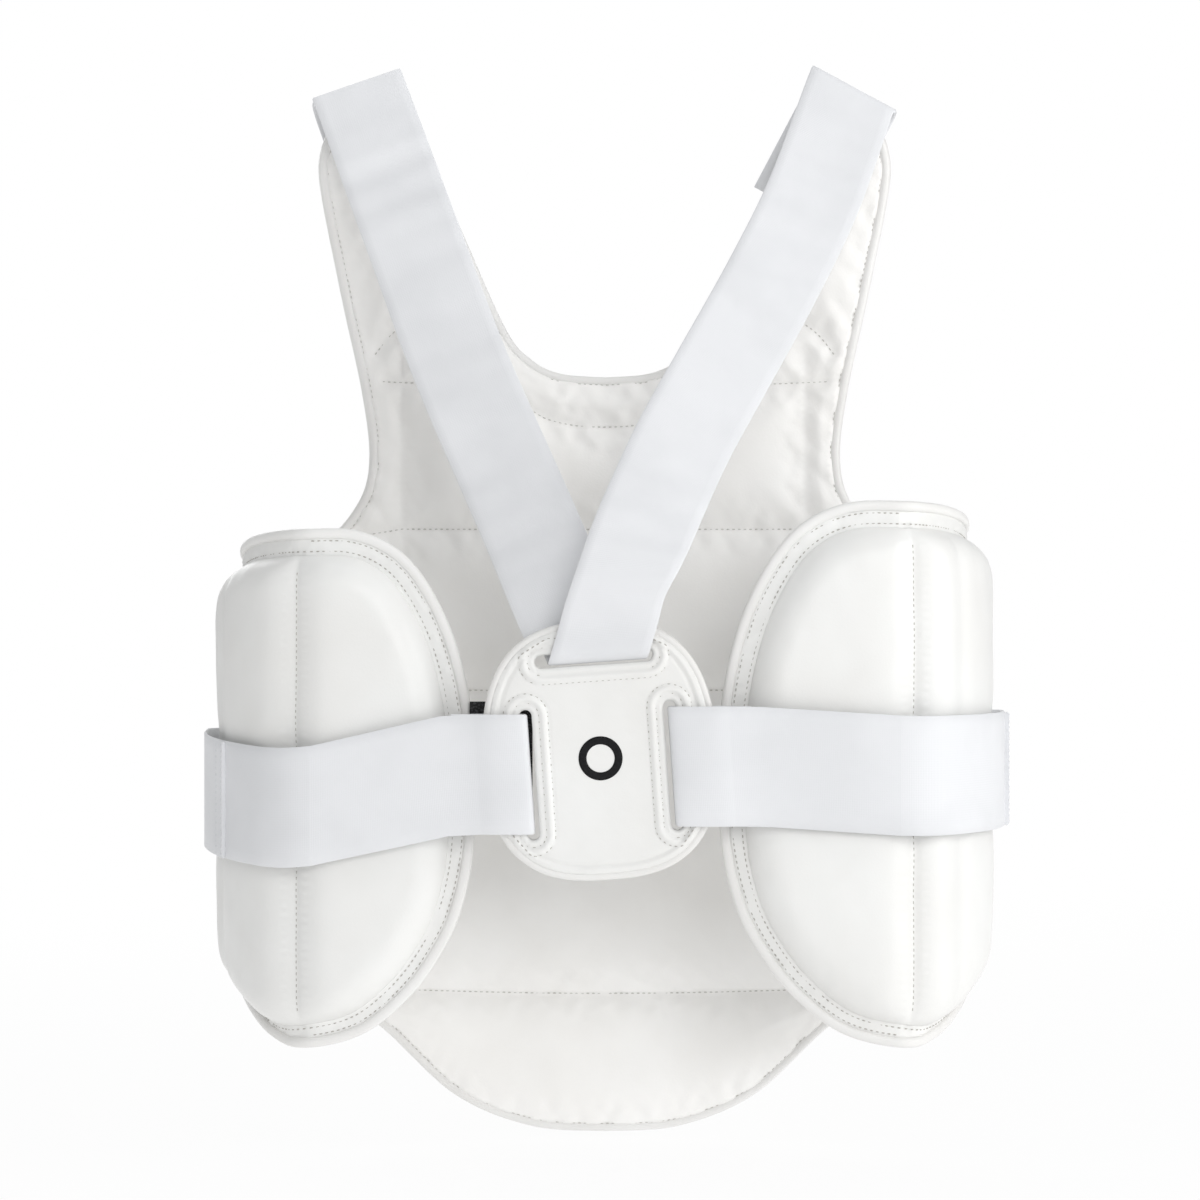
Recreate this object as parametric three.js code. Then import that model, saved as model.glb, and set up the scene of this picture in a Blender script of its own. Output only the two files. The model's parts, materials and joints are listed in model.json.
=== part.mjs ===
// Chest protector: a padded front panel, two hinged flank wings, a webbing harness and a back plate.
// Millimetres. +Z is up, the wearer faces -Y, and the wearer's left is +X.
import * as THREE from "three";

// ---- driving dimensions -------------------------------------------------------------------------
const GAP = 0.4;
const BINDING_WIDTH = 5.5;
const BINDING_STAND = 0.5;

const SKIN = 1.4;
const PANEL_FOAM = 10;
const PANEL_MID_Y = -64;
const PANEL_FLAT_HALF = 30;
const PANEL_HALF = 183;
const PANEL_WRAP = 22;
const SEAM_BOTTOM_Z = 98;
const SEAM_TOP_Z = 314;
const TAB_LEAN = Math.tan(THREE.MathUtils.degToRad(6));
const TAB_LEAN_Z = 430;
const TAB_LEAN_RUN = 40;

const WING_CHANNEL = new THREE.Vector2(151.5, 64);
const WING_SIDE_HEADING = THREE.MathUtils.degToRad(-48);
const WING_SIDE_TURN = THREE.MathUtils.degToRad(50);
const WING_SIDE_LENGTH = 118;
const WING_BACK_HEADING = THREE.MathUtils.degToRad(178);
const WING_BOARD = 5;
const WING_PAD = 15;
const WING_BOTTOM_Z = 60;
const HINGE_SETBACK = 3;

const WAIST_WEBBING = { width: 60, thick: 1.6, offset: 23.5, end: 76 };
const HOOK_PATCH = { outer: 68, y: 74, thick: 1.2, margin: 4 };
const SHOULDER_WEBBING = { width: 50, thick: 1.6, foldRadius: 9, frontLeg: 62, backLeg: 6 };
const SHOULDER_FOLD = { x: 128, z: 549 };

const PLATE = { x: 2.5, y: 84, z: 211, halfWidth: 59, halfHeight: 65, tilt: THREE.MathUtils.degToRad(4) };
const PLATE_CORE = 3.2;
const TAIL_STAND = 8;
const TOP_SLOT = { x: 0, z: 46, width: 58, height: 5.4 };
const SLOT_RIM = { reach: 4.5, clear: 0.6, thick: 1.6 };
const EMBLEM = { z: -4, outer: 11, inner: 7, thick: 0.4 };
const SIDE_SLOT = { x: 36, z: -10, width: 5, height: 64 };

// The model's origin is the centre of its box in plan; this is that centre in the drawing's own y.
const BOX_CENTRE_Y = 9.5145;

const SIDES = {
  left: {
    sign: 1, wingTop: 322, wingBackLength: 86, foldSlant: THREE.MathUtils.degToRad(19),
    waistAtPlate: 199, waistAtChannel: 182, waistAtSeam: 189, hookLift: 10, hookInner: 33,
  },
  right: {
    sign: -1, wingTop: 336, wingBackLength: 94, foldSlant: THREE.MathUtils.degToRad(28),
    waistAtPlate: 203, waistAtChannel: 198, waistAtSeam: 198, hookLift: 0, hookInner: 50,
  },
};

const LEATHER = { color: 0xf1efe9, roughness: 0.45, metalness: 0 };
const LINING = { color: 0xe9e7e0, roughness: 0.6, metalness: 0 };
const FOAM = { color: 0xcfd3d6, roughness: 0.95, metalness: 0 };
const ELASTIC = { color: 0xe6e9ee, roughness: 0.85, metalness: 0 };
const HOOK = { color: 0x1b1b1d, roughness: 0.9, metalness: 0 };
const BOARD = { color: 0xd9d9d4, roughness: 0.5, metalness: 0 };
const MARK = { color: 0x141414, roughness: 0.5, metalness: 0 };

// ---- building blocks ----------------------------------------------------------------------------
const part = new THREE.Group();
part.position.y = -BOX_CENTRE_Y;

function addMesh(parent, name, geometry, finish) {
  const mesh = new THREE.Mesh(geometry, new THREE.MeshStandardMaterial(finish));
  mesh.name = name;
  parent.add(mesh);
  return mesh;
}

// A curve through [u, v] points.
function spline(...points) {
  return new THREE.SplineCurve(points.map(([u, v]) => new THREE.Vector2(u, v)));
}

// The same curve shifted sideways, to its right when distance is positive.
function shifted(curve, distance, from = 0, to = 1, samples = 16) {
  const points = [];
  for (let i = 0; i <= samples; i++) {
    const t = from + ((to - from) * i) / samples;
    const along = curve.getTangentAt(t);
    points.push(curve.getPointAt(t).add(new THREE.Vector2(along.y, -along.x).multiplyScalar(distance)));
  }
  return new THREE.SplineCurve(points);
}

function straight(u0, v0, u1, v1) {
  return new THREE.LineCurve(new THREE.Vector2(u0, v0), new THREE.Vector2(u1, v1));
}

// A net of flat points between two curves: along them in `along` steps, across in `across` steps.
function net(curveA, curveB, along, across, spacing = (t) => t) {
  const rows = [];
  for (let i = 0; i <= along; i++) {
    const a = curveA.getPointAt(i / along);
    const b = curveB.getPointAt(i / along);
    const row = [];
    for (let j = 0; j <= across; j++) {
      const point = a.clone().lerp(b, spacing(j / across));
      row.push({ u: point.x, v: point.y, s: i / along, t: spacing(j / across) });
    }
    rows.push(row);
  }
  return rows;
}

function mirroredNet(rows) {
  return rows.map((row) => row.map((point) => ({ ...point, u: -point.u })));
}

function signedArea(corners) {
  return corners.reduce((sum, p, i) => {
    const q = corners[(i + 1) % corners.length];
    return sum + p.u * q.v - q.u * p.v;
  }, 0);
}

// A closed slab over flat nets that may share edges: place(u, v, w) bends it, low and high are its faces.
function slab(nets, place, low, high) {
  const points = [];
  const numbers = new Map();
  const numberOf = (point) => {
    const key = Math.round(point.u * 1000) + " " + Math.round(point.v * 1000);
    if (!numbers.has(key)) {
      numbers.set(key, points.length);
      points.push(point);
    }
    return numbers.get(key);
  };
  const faces = [];
  for (const rows of nets) {
    for (let i = 0; i + 1 < rows.length; i++) {
      for (let j = 0; j + 1 < rows[i].length; j++) {
        let corners = [rows[i][j], rows[i + 1][j], rows[i + 1][j + 1], rows[i][j + 1]];
        if (signedArea(corners) < 0) corners = corners.reverse();
        const [a, b, c, d] = corners.map(numberOf);
        faces.push([a, b, c], [a, c, d]);
      }
    }
  }
  const positions = [];
  for (const w of [low, high]) {
    for (const point of points) positions.push(...place(point.u, point.v, w(point)).toArray());
  }
  const count = points.length;
  const edges = new Map();
  const index = [];
  for (const [a, b, c] of faces) {
    index.push(a + count, b + count, c + count, a, c, b);
    for (const [p, q] of [[a, b], [b, c], [c, a]]) {
      if (!edges.delete(q + " " + p)) edges.set(p + " " + q, [p, q]);
    }
  }
  for (const [p, q] of edges.values()) index.push(p, q, q + count, p, q + count, p + count);
  const geometry = new THREE.BufferGeometry();
  geometry.setAttribute("position", new THREE.Float32BufferAttribute(positions, 3));
  geometry.setIndex(index);
  geometry.computeVertexNormals();
  return geometry;
}

const level = (w) => () => w;

// A strap through 3-D stations { at, across }: `across` is the unit direction of its width.
function webbing(stations, width, thick) {
  const place = (u, v, w) => {
    const i = Math.min(Math.floor(v), stations.length - 2);
    const here = stations[i].at.clone().lerp(stations[i + 1].at, v - i);
    const across = stations[i].across.clone().lerp(stations[i + 1].across, v - i).normalize();
    const before = stations[Math.max(Math.round(v) - 1, 0)].at;
    const after = stations[Math.min(Math.round(v) + 1, stations.length - 1)].at;
    const outward = new THREE.Vector3().crossVectors(across, after.clone().sub(before)).normalize();
    return here.addScaledVector(across, u).addScaledVector(outward, w);
  };
  const rows = [];
  for (let i = 0; i < stations.length; i++) {
    rows.push([{ u: -width / 2, v: i }, { u: width / 2, v: i }]);
  }
  return slab([rows], place, level(-thick / 2), level(thick / 2));
}

// ---- front panel --------------------------------------------------------------------------------
const HEM = spline([0, 0], [40, 3], [80, 20], [118, 56], [150, 80], [PANEL_HALF, SEAM_BOTTOM_Z]);
const ARMHOLE = spline([PANEL_HALF, SEAM_TOP_Z], [150, 318], [131, 338], [125, 362], [129, 398],
  [140, 450], [150, 503], [150, 524], [143, 538], [125, 544.5], [106, 549]);
const NECK = spline([0, 406], [24, 408], [40, 416], [54, 434], [82, 497], [101, 540]);
const PANEL_INSET = BINDING_WIDTH + 1.5;
const BELT_Z = SEAM_TOP_Z - PANEL_INSET;
const TAB_TOP_AT = 0.83;

function panelY(u, v) {
  const bend = Math.max(Math.abs(u) - PANEL_FLAT_HALF, 0) / (PANEL_HALF - PANEL_FLAT_HALF);
  const above = Math.max(v - TAB_LEAN_Z, 0);
  const run = Math.min(above, TAB_LEAN_RUN);
  const lean = TAB_LEAN * ((run * run) / (2 * TAB_LEAN_RUN) + above - run);
  return PANEL_MID_Y + PANEL_WRAP * bend * bend + lean;
}

function panelNormal(u, v) {
  const step = 0.5;
  const slopeU = (panelY(u + step, v) - panelY(u - step, v)) / (2 * step);
  const slopeV = (panelY(u, v + step) - panelY(u, v - step)) / (2 * step);
  return new THREE.Vector3(slopeU, -1, slopeV).normalize();
}

// The wearer's side of the panel is at w = 0, and w grows towards the front.
function onPanel(u, v, w) {
  return new THREE.Vector3(u, panelY(u, v), v).addScaledVector(panelNormal(u, v), w);
}

const LINING_W = [0, SKIN];
const FOAM_W = [SKIN + GAP, SKIN + GAP + PANEL_FOAM];
const COVER_W = [FOAM_W[1] + GAP, FOAM_W[1] + GAP + SKIN];

function panelSlab(nets, [low, high]) {
  return slab(nets, onPanel, level(low), level(high));
}

// Each half of the panel: the skirt below the belt line, the chest beside the neckline's drop, the tab.
function panelNets() {
  const columns = 9;
  const neckDropZ = NECK.points[0].y - PANEL_INSET;
  const armholeAtNeck = 0.3;
  const hem = shifted(HEM, -PANEL_INSET, 0, 0.985);
  const edgeX = hem.getPointAt(1).x;
  const belt = straight(0, BELT_Z, edgeX, BELT_Z);
  const armholeLow = shifted(ARMHOLE, -PANEL_INSET, 0.012, armholeAtNeck);
  armholeLow.points[0].set(edgeX, BELT_Z);
  const armholeHigh = shifted(ARMHOLE, -PANEL_INSET, armholeAtNeck, TAB_TOP_AT);
  const neck = shifted(NECK, PANEL_INSET, 0, 0.97);
  neck.points[0].set(0, neckDropZ);
  const half = [
    net(hem, belt, columns, 8),
    net(straight(0, BELT_Z, 0, neckDropZ), armholeLow, 5, columns),
    net(neck, armholeHigh, 9, columns),
  ];
  return [...half, ...half.map(mirroredNet)];
}

const BLOCK_EDGE = 12;
const BLOCK_HALF = 116;
const FLANK_BLOCK_TOP = 304;
const HEM_BLOCK_TOP = 74;
const FOAM_BLOCKS = {
  belly_foam: { bottom: 80, top: 234, half: BLOCK_HALF },
  ribs_foam: { bottom: 240, top: 318, half: BLOCK_HALF },
  chest_foam: { bottom: 324, top: 392, half: BLOCK_HALF - 6 },
};

// A foam block between a lower and an upper curve.
function foamBlock(name, lower, upper, along, across) {
  addMesh(part, name, panelSlab([net(lower, upper, along, across)], FOAM_W), FOAM);
}

function addPanel() {
  addMesh(part, "front_cover", panelSlab(panelNets(), COVER_W), LEATHER);
  addMesh(part, "front_lining", panelSlab(panelNets(), LINING_W), LINING);
  for (const [side, { sign }] of Object.entries(SIDES)) {
    const across = (curve) => new THREE.SplineCurve(
      curve.getSpacedPoints(12).map((p) => new THREE.Vector2(sign * p.x, p.y)));
    const tabNeck = across(shifted(NECK, BLOCK_EDGE, 0.36, 0.93));
    const tabArm = across(shifted(ARMHOLE, -BLOCK_EDGE, 0.43, 0.8));
    foamBlock(side + "_tab_foam", tabNeck, tabArm, 6, 2);
    const flankLow = across(shifted(HEM, -BLOCK_EDGE, 0.72, 0.97));
    const low = flankLow.getPointAt(0);
    const high = flankLow.getPointAt(1);
    const flankHigh = straight(low.x, FLANK_BLOCK_TOP, high.x, FLANK_BLOCK_TOP);
    foamBlock(side + "_flank_foam", flankLow, flankHigh, 3, 3);
  }
  const hemCurve = shifted(HEM, -BLOCK_EDGE, 0, 0.55);
  const hemPoints = hemCurve.getSpacedPoints(8);
  const bothHem = new THREE.SplineCurve([
    ...hemPoints.slice(1).reverse().map((p) => new THREE.Vector2(-p.x, p.y)), ...hemPoints]);
  const hemEnd = hemPoints[8].x;
  foamBlock("hem_foam", bothHem, straight(-hemEnd, HEM_BLOCK_TOP, hemEnd, HEM_BLOCK_TOP), 10, 2);
  for (const [name, { bottom, top, half }] of Object.entries(FOAM_BLOCKS)) {
    foamBlock(name, straight(-half, bottom, half, bottom), straight(-half, top, half, top), 8, 3);
  }
}

// A binding strip along a free edge of the panel.
function panelBinding(name, edge, inner, along) {
  const faces = [-BINDING_STAND, COVER_W[1] + BINDING_STAND];
  addMesh(part, name, panelSlab([net(edge, inner, along, 1)], faces), LEATHER);
}

function addPanelBindings() {
  const both = (curve, from, to, distance) => {
    const points = shifted(curve, distance, from, to).getSpacedPoints(14);
    points[0].x = 0;
    return new THREE.SplineCurve([
      ...points.slice(1).reverse().map((p) => new THREE.Vector2(-p.x, p.y)), ...points]);
  };
  panelBinding("hem_binding", both(HEM, 0, 0.985, 0), both(HEM, 0, 0.985, -BINDING_WIDTH), 24);
  panelBinding("neck_binding", both(NECK, 0, 0.97, 0), both(NECK, 0, 0.97, BINDING_WIDTH), 26);
  for (const [side, { sign }] of Object.entries(SIDES)) {
    const flip = (curve) => new THREE.SplineCurve(
      curve.getSpacedPoints(20).map((p) => new THREE.Vector2(sign * p.x, p.y)));
    const outer = flip(shifted(ARMHOLE, 0, 0.012, 0.995));
    const inner = flip(shifted(ARMHOLE, -BINDING_WIDTH, 0.012, 0.995));
    panelBinding(side + "_armhole_binding", outer, inner, 20);
  }
}

// ---- flank wings --------------------------------------------------------------------------------
// Both parts of a wing are drawn with u = distance from the channel and v = height; w grows outwards.
function onWingSide(u, v, w) {
  const radius = WING_SIDE_LENGTH / WING_SIDE_TURN;
  const heading = WING_SIDE_HEADING - u / radius;
  const x = WING_CHANNEL.x + radius * (Math.sin(WING_SIDE_HEADING) - Math.sin(heading));
  const y = WING_CHANNEL.y + radius * (Math.cos(heading) - Math.cos(WING_SIDE_HEADING));
  return new THREE.Vector3(x - w * Math.sin(heading), y + w * Math.cos(heading), v);
}

function onWingBack(u, v, w) {
  const cos = Math.cos(WING_BACK_HEADING);
  const sin = Math.sin(WING_BACK_HEADING);
  return new THREE.Vector3(WING_CHANNEL.x + u * cos + w * sin, WING_CHANNEL.y + u * sin - w * cos, v);
}

// slab() needs a right-handed u, v, w. Seen from outside, +u runs right on the left wing's side part
// and left on its back part, so the side part is drawn with u reversed.
function wingSlab(place, uSign, nets, low, high) {
  const turned = nets.map((rows) => rows.map((row) => row.map((p) => ({ ...p, u: uSign * p.u }))));
  return slab(turned, (u, v, w) => place(uSign * u, v, w), low, high);
}

const endsTight = (t) => (1 - Math.cos(Math.PI * t)) / 2;

// 1 over the middle of a pad, falling smoothly to 0 at the rim; power sets how full it is.
function crown(point, channelFullness) {
  const rise = (x) => Math.sqrt(Math.max(1 - Math.pow(1 - x, 4), 0));
  const alongRim = rise(Math.min((1 - point.s) / 0.3, 1));
  const alongChannel = channelFullness + (1 - channelFullness) * rise(Math.min(point.s / 0.25, 1));
  const height = rise(Math.min(Math.min(point.t, 1 - point.t) / 0.16, 1));
  return Math.min(alongRim, 1) * alongChannel * height;
}

function wingOutline(top, backLength) {
  const mid = (top + WING_BOTTOM_Z) / 2;
  const rise = top - mid;
  const back = (part, height) => [backLength * part, mid + rise * height];
  return {
    backTop: spline([HINGE_SETBACK, top], back(0.33, 0.99), back(0.59, 0.9), back(0.78, 0.73),
      back(0.92, 0.5), back(1, 0.2)),
    backBottom: spline([HINGE_SETBACK, WING_BOTTOM_Z], back(0.33, -0.95), back(0.59, -0.82),
      back(0.78, -0.66), back(0.92, -0.47), back(1, -0.2)),
    sideTop: spline([HINGE_SETBACK, top], [50, top - 3], [115, top - 12]),
    sideBottom: spline([HINGE_SETBACK, WING_BOTTOM_Z], [25, WING_BOTTOM_Z + 4],
      [60, WING_BOTTOM_Z + 16], [115, WING_BOTTOM_Z + 32]),
  };
}

function addWingPart(parent, name, place, uSign, top, bottom, closedEnd) {
  // The board stops short of the seam, or of the binding that closes the wing's free edge.
  const boardTo = closedEnd ? 0.93 : 0.97;
  const rim = BINDING_WIDTH;
  const boardTop = shifted(top, rim + GAP, 0, boardTo);
  const boardBottom = shifted(bottom, -rim - GAP, 0, boardTo);
  const board = wingSlab(place, uSign, [net(boardTop, boardBottom, 8, 4)], level(0), level(WING_BOARD));
  addMesh(parent, name + "_board", board, LEATHER);

  const bindingFaces = [level(-BINDING_STAND), level(WING_BOARD + BINDING_STAND)];
  if (closedEnd) {
    const around = [...top.getSpacedPoints(14), ...bottom.getSpacedPoints(14).reverse()];
    const outline = new THREE.SplineCurve(around);
    const strip = net(outline, shifted(outline, rim, 0, 1, 40), 36, 1);
    addMesh(parent, name + "_binding", wingSlab(place, uSign, [strip], ...bindingFaces), LEATHER);
  } else {
    const strips = {
      _top_binding: net(top, shifted(top, rim), 5, 1),
      _bottom_binding: net(bottom, shifted(bottom, -rim), 8, 1),
    };
    for (const [ending, strip] of Object.entries(strips)) {
      addMesh(parent, name + ending, wingSlab(place, uSign, [strip], ...bindingFaces), LEATHER);
    }
  }

  const padTo = closedEnd ? 0.9 : 0.93;
  const padTop = shifted(top, 15, 0, padTo);
  const padBottom = shifted(bottom, -13, 0, padTo);
  const channelFullness = 0.75;
  const foamLow = WING_BOARD + GAP;
  const padNet = net(padTop, padBottom, 10, 10, endsTight);
  const coverHigh = (p) => foamLow + SKIN + WING_PAD * crown(p, channelFullness);
  const cover = wingSlab(place, uSign, [padNet], (p) => coverHigh(p) - SKIN, coverHigh);
  addMesh(parent, name + "_pad_cover", cover, LEATHER);
  const foamTop = shifted(top, 20, 0.04, padTo - 0.04);
  const foamBottom = shifted(bottom, -18, 0.04, padTo - 0.04);
  const foamNet = net(foamTop, foamBottom, 9, 3);
  const foamHigh = foamLow + WING_PAD * 0.3;
  const foam = wingSlab(place, uSign, [foamNet], level(foamLow), level(foamHigh));
  addMesh(parent, name + "_foam", foam, FOAM);
}

// ---- waist straps -------------------------------------------------------------------------------
const UP = new THREE.Vector3(0, 0, 1);

function waistStations(points) {
  return points.map((at) => ({ at, across: UP }));
}

function addWaistStrap(parent, side, heights) {
  const { width, thick, offset, end } = WAIST_WEBBING;
  const { waistAtChannel, waistAtSeam, waistAtPlate } = heights;
  const sideHeight = (u) => THREE.MathUtils.lerp(waistAtChannel, waistAtSeam, u / WING_SIDE_LENGTH);
  const backHeight = (u) => THREE.MathUtils.lerp(waistAtChannel, waistAtPlate, u / end);
  const sidePoints = [];
  for (let u = 112; u >= 2; u -= 11) sidePoints.push(onWingSide(u, sideHeight(u), offset));
  addMesh(parent, side + "_waist_strap_side", webbing(waistStations(sidePoints), width, thick), ELASTIC);

  const backStart = 2;
  const cornerStart = onWingSide(1.2, sideHeight(1.2), offset);
  const cornerEnd = onWingBack(backStart - 0.8, backHeight(backStart), offset);
  const corner = cornerStart.clone().lerp(cornerEnd, 0.5).add(new THREE.Vector3(1.1, 1.9, 0));
  const cornerPoints = [cornerStart, corner, cornerEnd];
  addMesh(parent, side + "_waist_strap_corner", webbing(waistStations(cornerPoints), width, thick), ELASTIC);

  const backPoints = [];
  for (let i = 0; i <= 4; i++) {
    const u = backStart + ((end - backStart) * i) / 4;
    backPoints.push(onWingBack(u, backHeight(u), offset));
  }
  addMesh(parent, side + "_waist_strap_back", webbing(waistStations(backPoints), width, thick), ELASTIC);

  addWaistTail(parent, side, heights);
}

// The tail wraps the plate's edge bar: out over it, in through the slot, and back underneath.
function addWaistTail(parent, side, { sign, waistAtPlate, hookLift, hookInner }) {
  const { width, thick, end } = WAIST_WEBBING;
  const slotX = SIDE_SLOT.x + sign * (PLATE.x + SIDE_SLOT.z * Math.sin(PLATE.tilt));
  const start = onWingBack(end + GAP, waistAtPlate, WAIST_WEBBING.offset);
  const outerY = PLATE.y + TAIL_STAND;
  const innerY = PLATE.y - TAIL_STAND + GAP;
  const tailPath = [
    [start.x, start.y], [slotX + 27, outerY - 1.2], [slotX + 19, outerY], [slotX + 9, outerY],
    [slotX + 1.6, outerY - 1.2], [slotX, outerY - 4], [slotX, innerY + 3.8], [slotX + 1.6, innerY + 1.2],
    [slotX + 9, innerY], [slotX + 21, innerY], [slotX + 26, innerY + 3.3], [slotX + 31, innerY + 8.4],
    [start.x - 3, start.y - 4],
  ];
  const alongSlot = new THREE.Vector3(sign * Math.sin(PLATE.tilt), 0, Math.cos(PLATE.tilt));
  const stations = tailPath.map(([x, y], i) => ({
    at: new THREE.Vector3(x, y, waistAtPlate),
    across: i === 0 ? UP : alongSlot,
  }));
  addMesh(parent, side + "_waist_strap_tail", webbing(stations, width, thick), ELASTIC);

  const patchEnds = [hookInner, HOOK_PATCH.outer].map(
    (x) => new THREE.Vector3(x, HOOK_PATCH.y, waistAtPlate + hookLift));
  const patch = webbing(waistStations(patchEnds), width - 2 * HOOK_PATCH.margin, HOOK_PATCH.thick);
  addMesh(parent, side + "_hook_patch", patch, HOOK);
}

function addWing(side) {
  const { sign, wingTop, wingBackLength } = SIDES[side];
  const wing = new THREE.Group();
  wing.scale.x = sign;
  part.add(wing);
  const outline = wingOutline(wingTop, wingBackLength);
  addWingPart(wing, side + "_wing_side", onWingSide, -1, outline.sideTop, outline.sideBottom, false);
  addWingPart(wing, side + "_wing_back", onWingBack, 1, outline.backTop, outline.backBottom, true);
  addWaistStrap(wing, side, SIDES[side]);
}

// ---- back plate ---------------------------------------------------------------------------------
function plateOutline(inset) {
  const fullness = 2.7;
  const taper = 0.05;
  const points = [];
  for (let i = 0; i < 48; i++) {
    const angle = (2 * Math.PI * i) / 48;
    const round = (value) => Math.sign(value) * Math.pow(Math.abs(value), 2 / fullness);
    const z = round(Math.sin(angle));
    const half = (PLATE.halfWidth - inset) * (1 - taper * Math.max(z, 0));
    points.push(new THREE.Vector2(half * round(Math.cos(angle)), (PLATE.halfHeight - inset) * z));
  }
  return points;
}

function roundedSlot(path, slot, grow) {
  const w = slot.width / 2 + grow;
  const h = slot.height / 2 + grow;
  const r = Math.min(w, h);
  path.absarc(slot.x + w - r, slot.z + h - r, r, 0, Math.PI / 2);
  path.absarc(slot.x - w + r, slot.z + h - r, r, Math.PI / 2, Math.PI);
  path.absarc(slot.x - w + r, slot.z - h + r, r, Math.PI, Math.PI * 1.5);
  path.absarc(slot.x + w - r, slot.z - h + r, r, Math.PI * 1.5, Math.PI * 2);
  path.closePath();
  return path;
}

const PLATE_SLOTS = {
  top: TOP_SLOT,
  left: SIDE_SLOT,
  right: { ...SIDE_SLOT, x: -SIDE_SLOT.x },
};

// A flat layer of the plate, from y = low to y = low + thick, cut by its three slots.
function plateLayer(shape, low, thick) {
  const geometry = new THREE.ExtrudeGeometry(shape, { depth: thick, bevelEnabled: false, curveSegments: 5 });
  geometry.rotateX(Math.PI / 2);
  geometry.translate(0, low + thick, 0);
  return geometry;
}

function plateShape(inset, slotGrow) {
  const shape = new THREE.Shape(plateOutline(inset));
  for (const slot of Object.values(PLATE_SLOTS)) {
    shape.holes.push(roundedSlot(new THREE.Path(), slot, slotGrow));
  }
  return shape;
}

function addPlate() {
  const plate = new THREE.Group();
  plate.position.set(PLATE.x, PLATE.y, PLATE.z);
  plate.rotation.y = PLATE.tilt;
  part.add(plate);
  const inset = BINDING_WIDTH + GAP;
  const half = PLATE_CORE / 2;
  addMesh(plate, "plate_core", plateLayer(plateShape(inset + 2, 2), -half, PLATE_CORE), BOARD);
  addMesh(plate, "plate_cover", plateLayer(plateShape(inset, SLOT_RIM.clear), half + GAP, SKIN), LEATHER);
  const liningShape = plateShape(inset, SLOT_RIM.clear);
  addMesh(plate, "plate_lining", plateLayer(liningShape, -half - GAP - SKIN, SKIN), LINING);
  const faceY = half + GAP + SKIN;
  const ring = new THREE.Shape(plateOutline(0));
  ring.holes.push(new THREE.Path(plateOutline(BINDING_WIDTH)));
  const bindingY = faceY + BINDING_STAND;
  addMesh(plate, "plate_binding", plateLayer(ring, -bindingY, 2 * bindingY), LEATHER);
  for (const [name, slot] of Object.entries(PLATE_SLOTS)) {
    const rim = roundedSlot(new THREE.Shape(), slot, SLOT_RIM.reach);
    rim.holes.push(roundedSlot(new THREE.Path(), slot, SLOT_RIM.clear));
    addMesh(plate, name + "_slot_rim", plateLayer(rim, faceY + GAP, SLOT_RIM.thick), LEATHER);
  }
  const mark = new THREE.Shape();
  mark.absarc(0, EMBLEM.z, EMBLEM.outer, 0, Math.PI * 2);
  const hole = new THREE.Path();
  hole.absarc(0, EMBLEM.z, EMBLEM.inner, 0, Math.PI * 2);
  mark.holes.push(hole);
  addMesh(plate, "plate_emblem", plateLayer(mark, faceY + GAP, EMBLEM.thick), MARK);
}

// ---- shoulder harness ---------------------------------------------------------------------------
// The frame of a shoulder fold: x across the webbing, y towards the wearer's back, z up along it.
function foldFrame(side) {
  const { sign, foldSlant } = SIDES[side];
  const { x, z } = SHOULDER_FOLD;
  const u = sign * x;
  const thickness = COVER_W[1];
  const back = panelNormal(u, z - 20).negate();
  const across = new THREE.Vector3(1, 0, 0).addScaledVector(back, -back.x).normalize();
  const up = new THREE.Vector3().crossVectors(across, back).normalize();
  const frame = new THREE.Matrix4().makeBasis(across, back, up);
  frame.multiply(new THREE.Matrix4().makeRotationY(sign * foldSlant));
  frame.setPosition(onPanel(u, z, thickness / 2));
  return frame;
}

function addShoulderFold(side) {
  const { width, thick, foldRadius, frontLeg, backLeg } = SHOULDER_WEBBING;
  const outer = foldRadius + thick;
  const profile = new THREE.Shape();
  profile.moveTo(-outer, -frontLeg);
  profile.absarc(0, 0, outer, Math.PI, 0, true);
  profile.lineTo(outer, -backLeg);
  profile.lineTo(foldRadius, -backLeg);
  profile.absarc(0, 0, foldRadius, 0, Math.PI, false);
  profile.lineTo(-foldRadius, -frontLeg);
  profile.closePath();
  const settings = { depth: width, bevelEnabled: false, curveSegments: 10 };
  const geometry = new THREE.ExtrudeGeometry(profile, settings);
  // The profile's x becomes the frame's y, its y the frame's z, and the extrusion runs along x.
  geometry.applyMatrix4(new THREE.Matrix4().makeBasis(
    new THREE.Vector3(0, 1, 0), new THREE.Vector3(0, 0, 1), new THREE.Vector3(1, 0, 0)));
  geometry.translate(-width / 2, 0, 0);
  geometry.applyMatrix4(foldFrame(side));
  addMesh(part, side + "_shoulder_strap_end", geometry, ELASTIC);
  const patch = new THREE.BoxGeometry(width - 8, 1, frontLeg - 22);
  patch.translate(0, -foldRadius + 0.9, -frontLeg / 2 - 7);
  patch.applyMatrix4(foldFrame(side));
  addMesh(part, side + "_tab_hook_patch", patch, HOOK);
}

function shoulderStations(points) {
  return points.map((at, i) => {
    const along = points[Math.min(i + 1, points.length - 1)].clone().sub(points[Math.max(i - 1, 0)]);
    return { at, across: new THREE.Vector3(0, -1, 0).cross(along).normalize() };
  });
}

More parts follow.
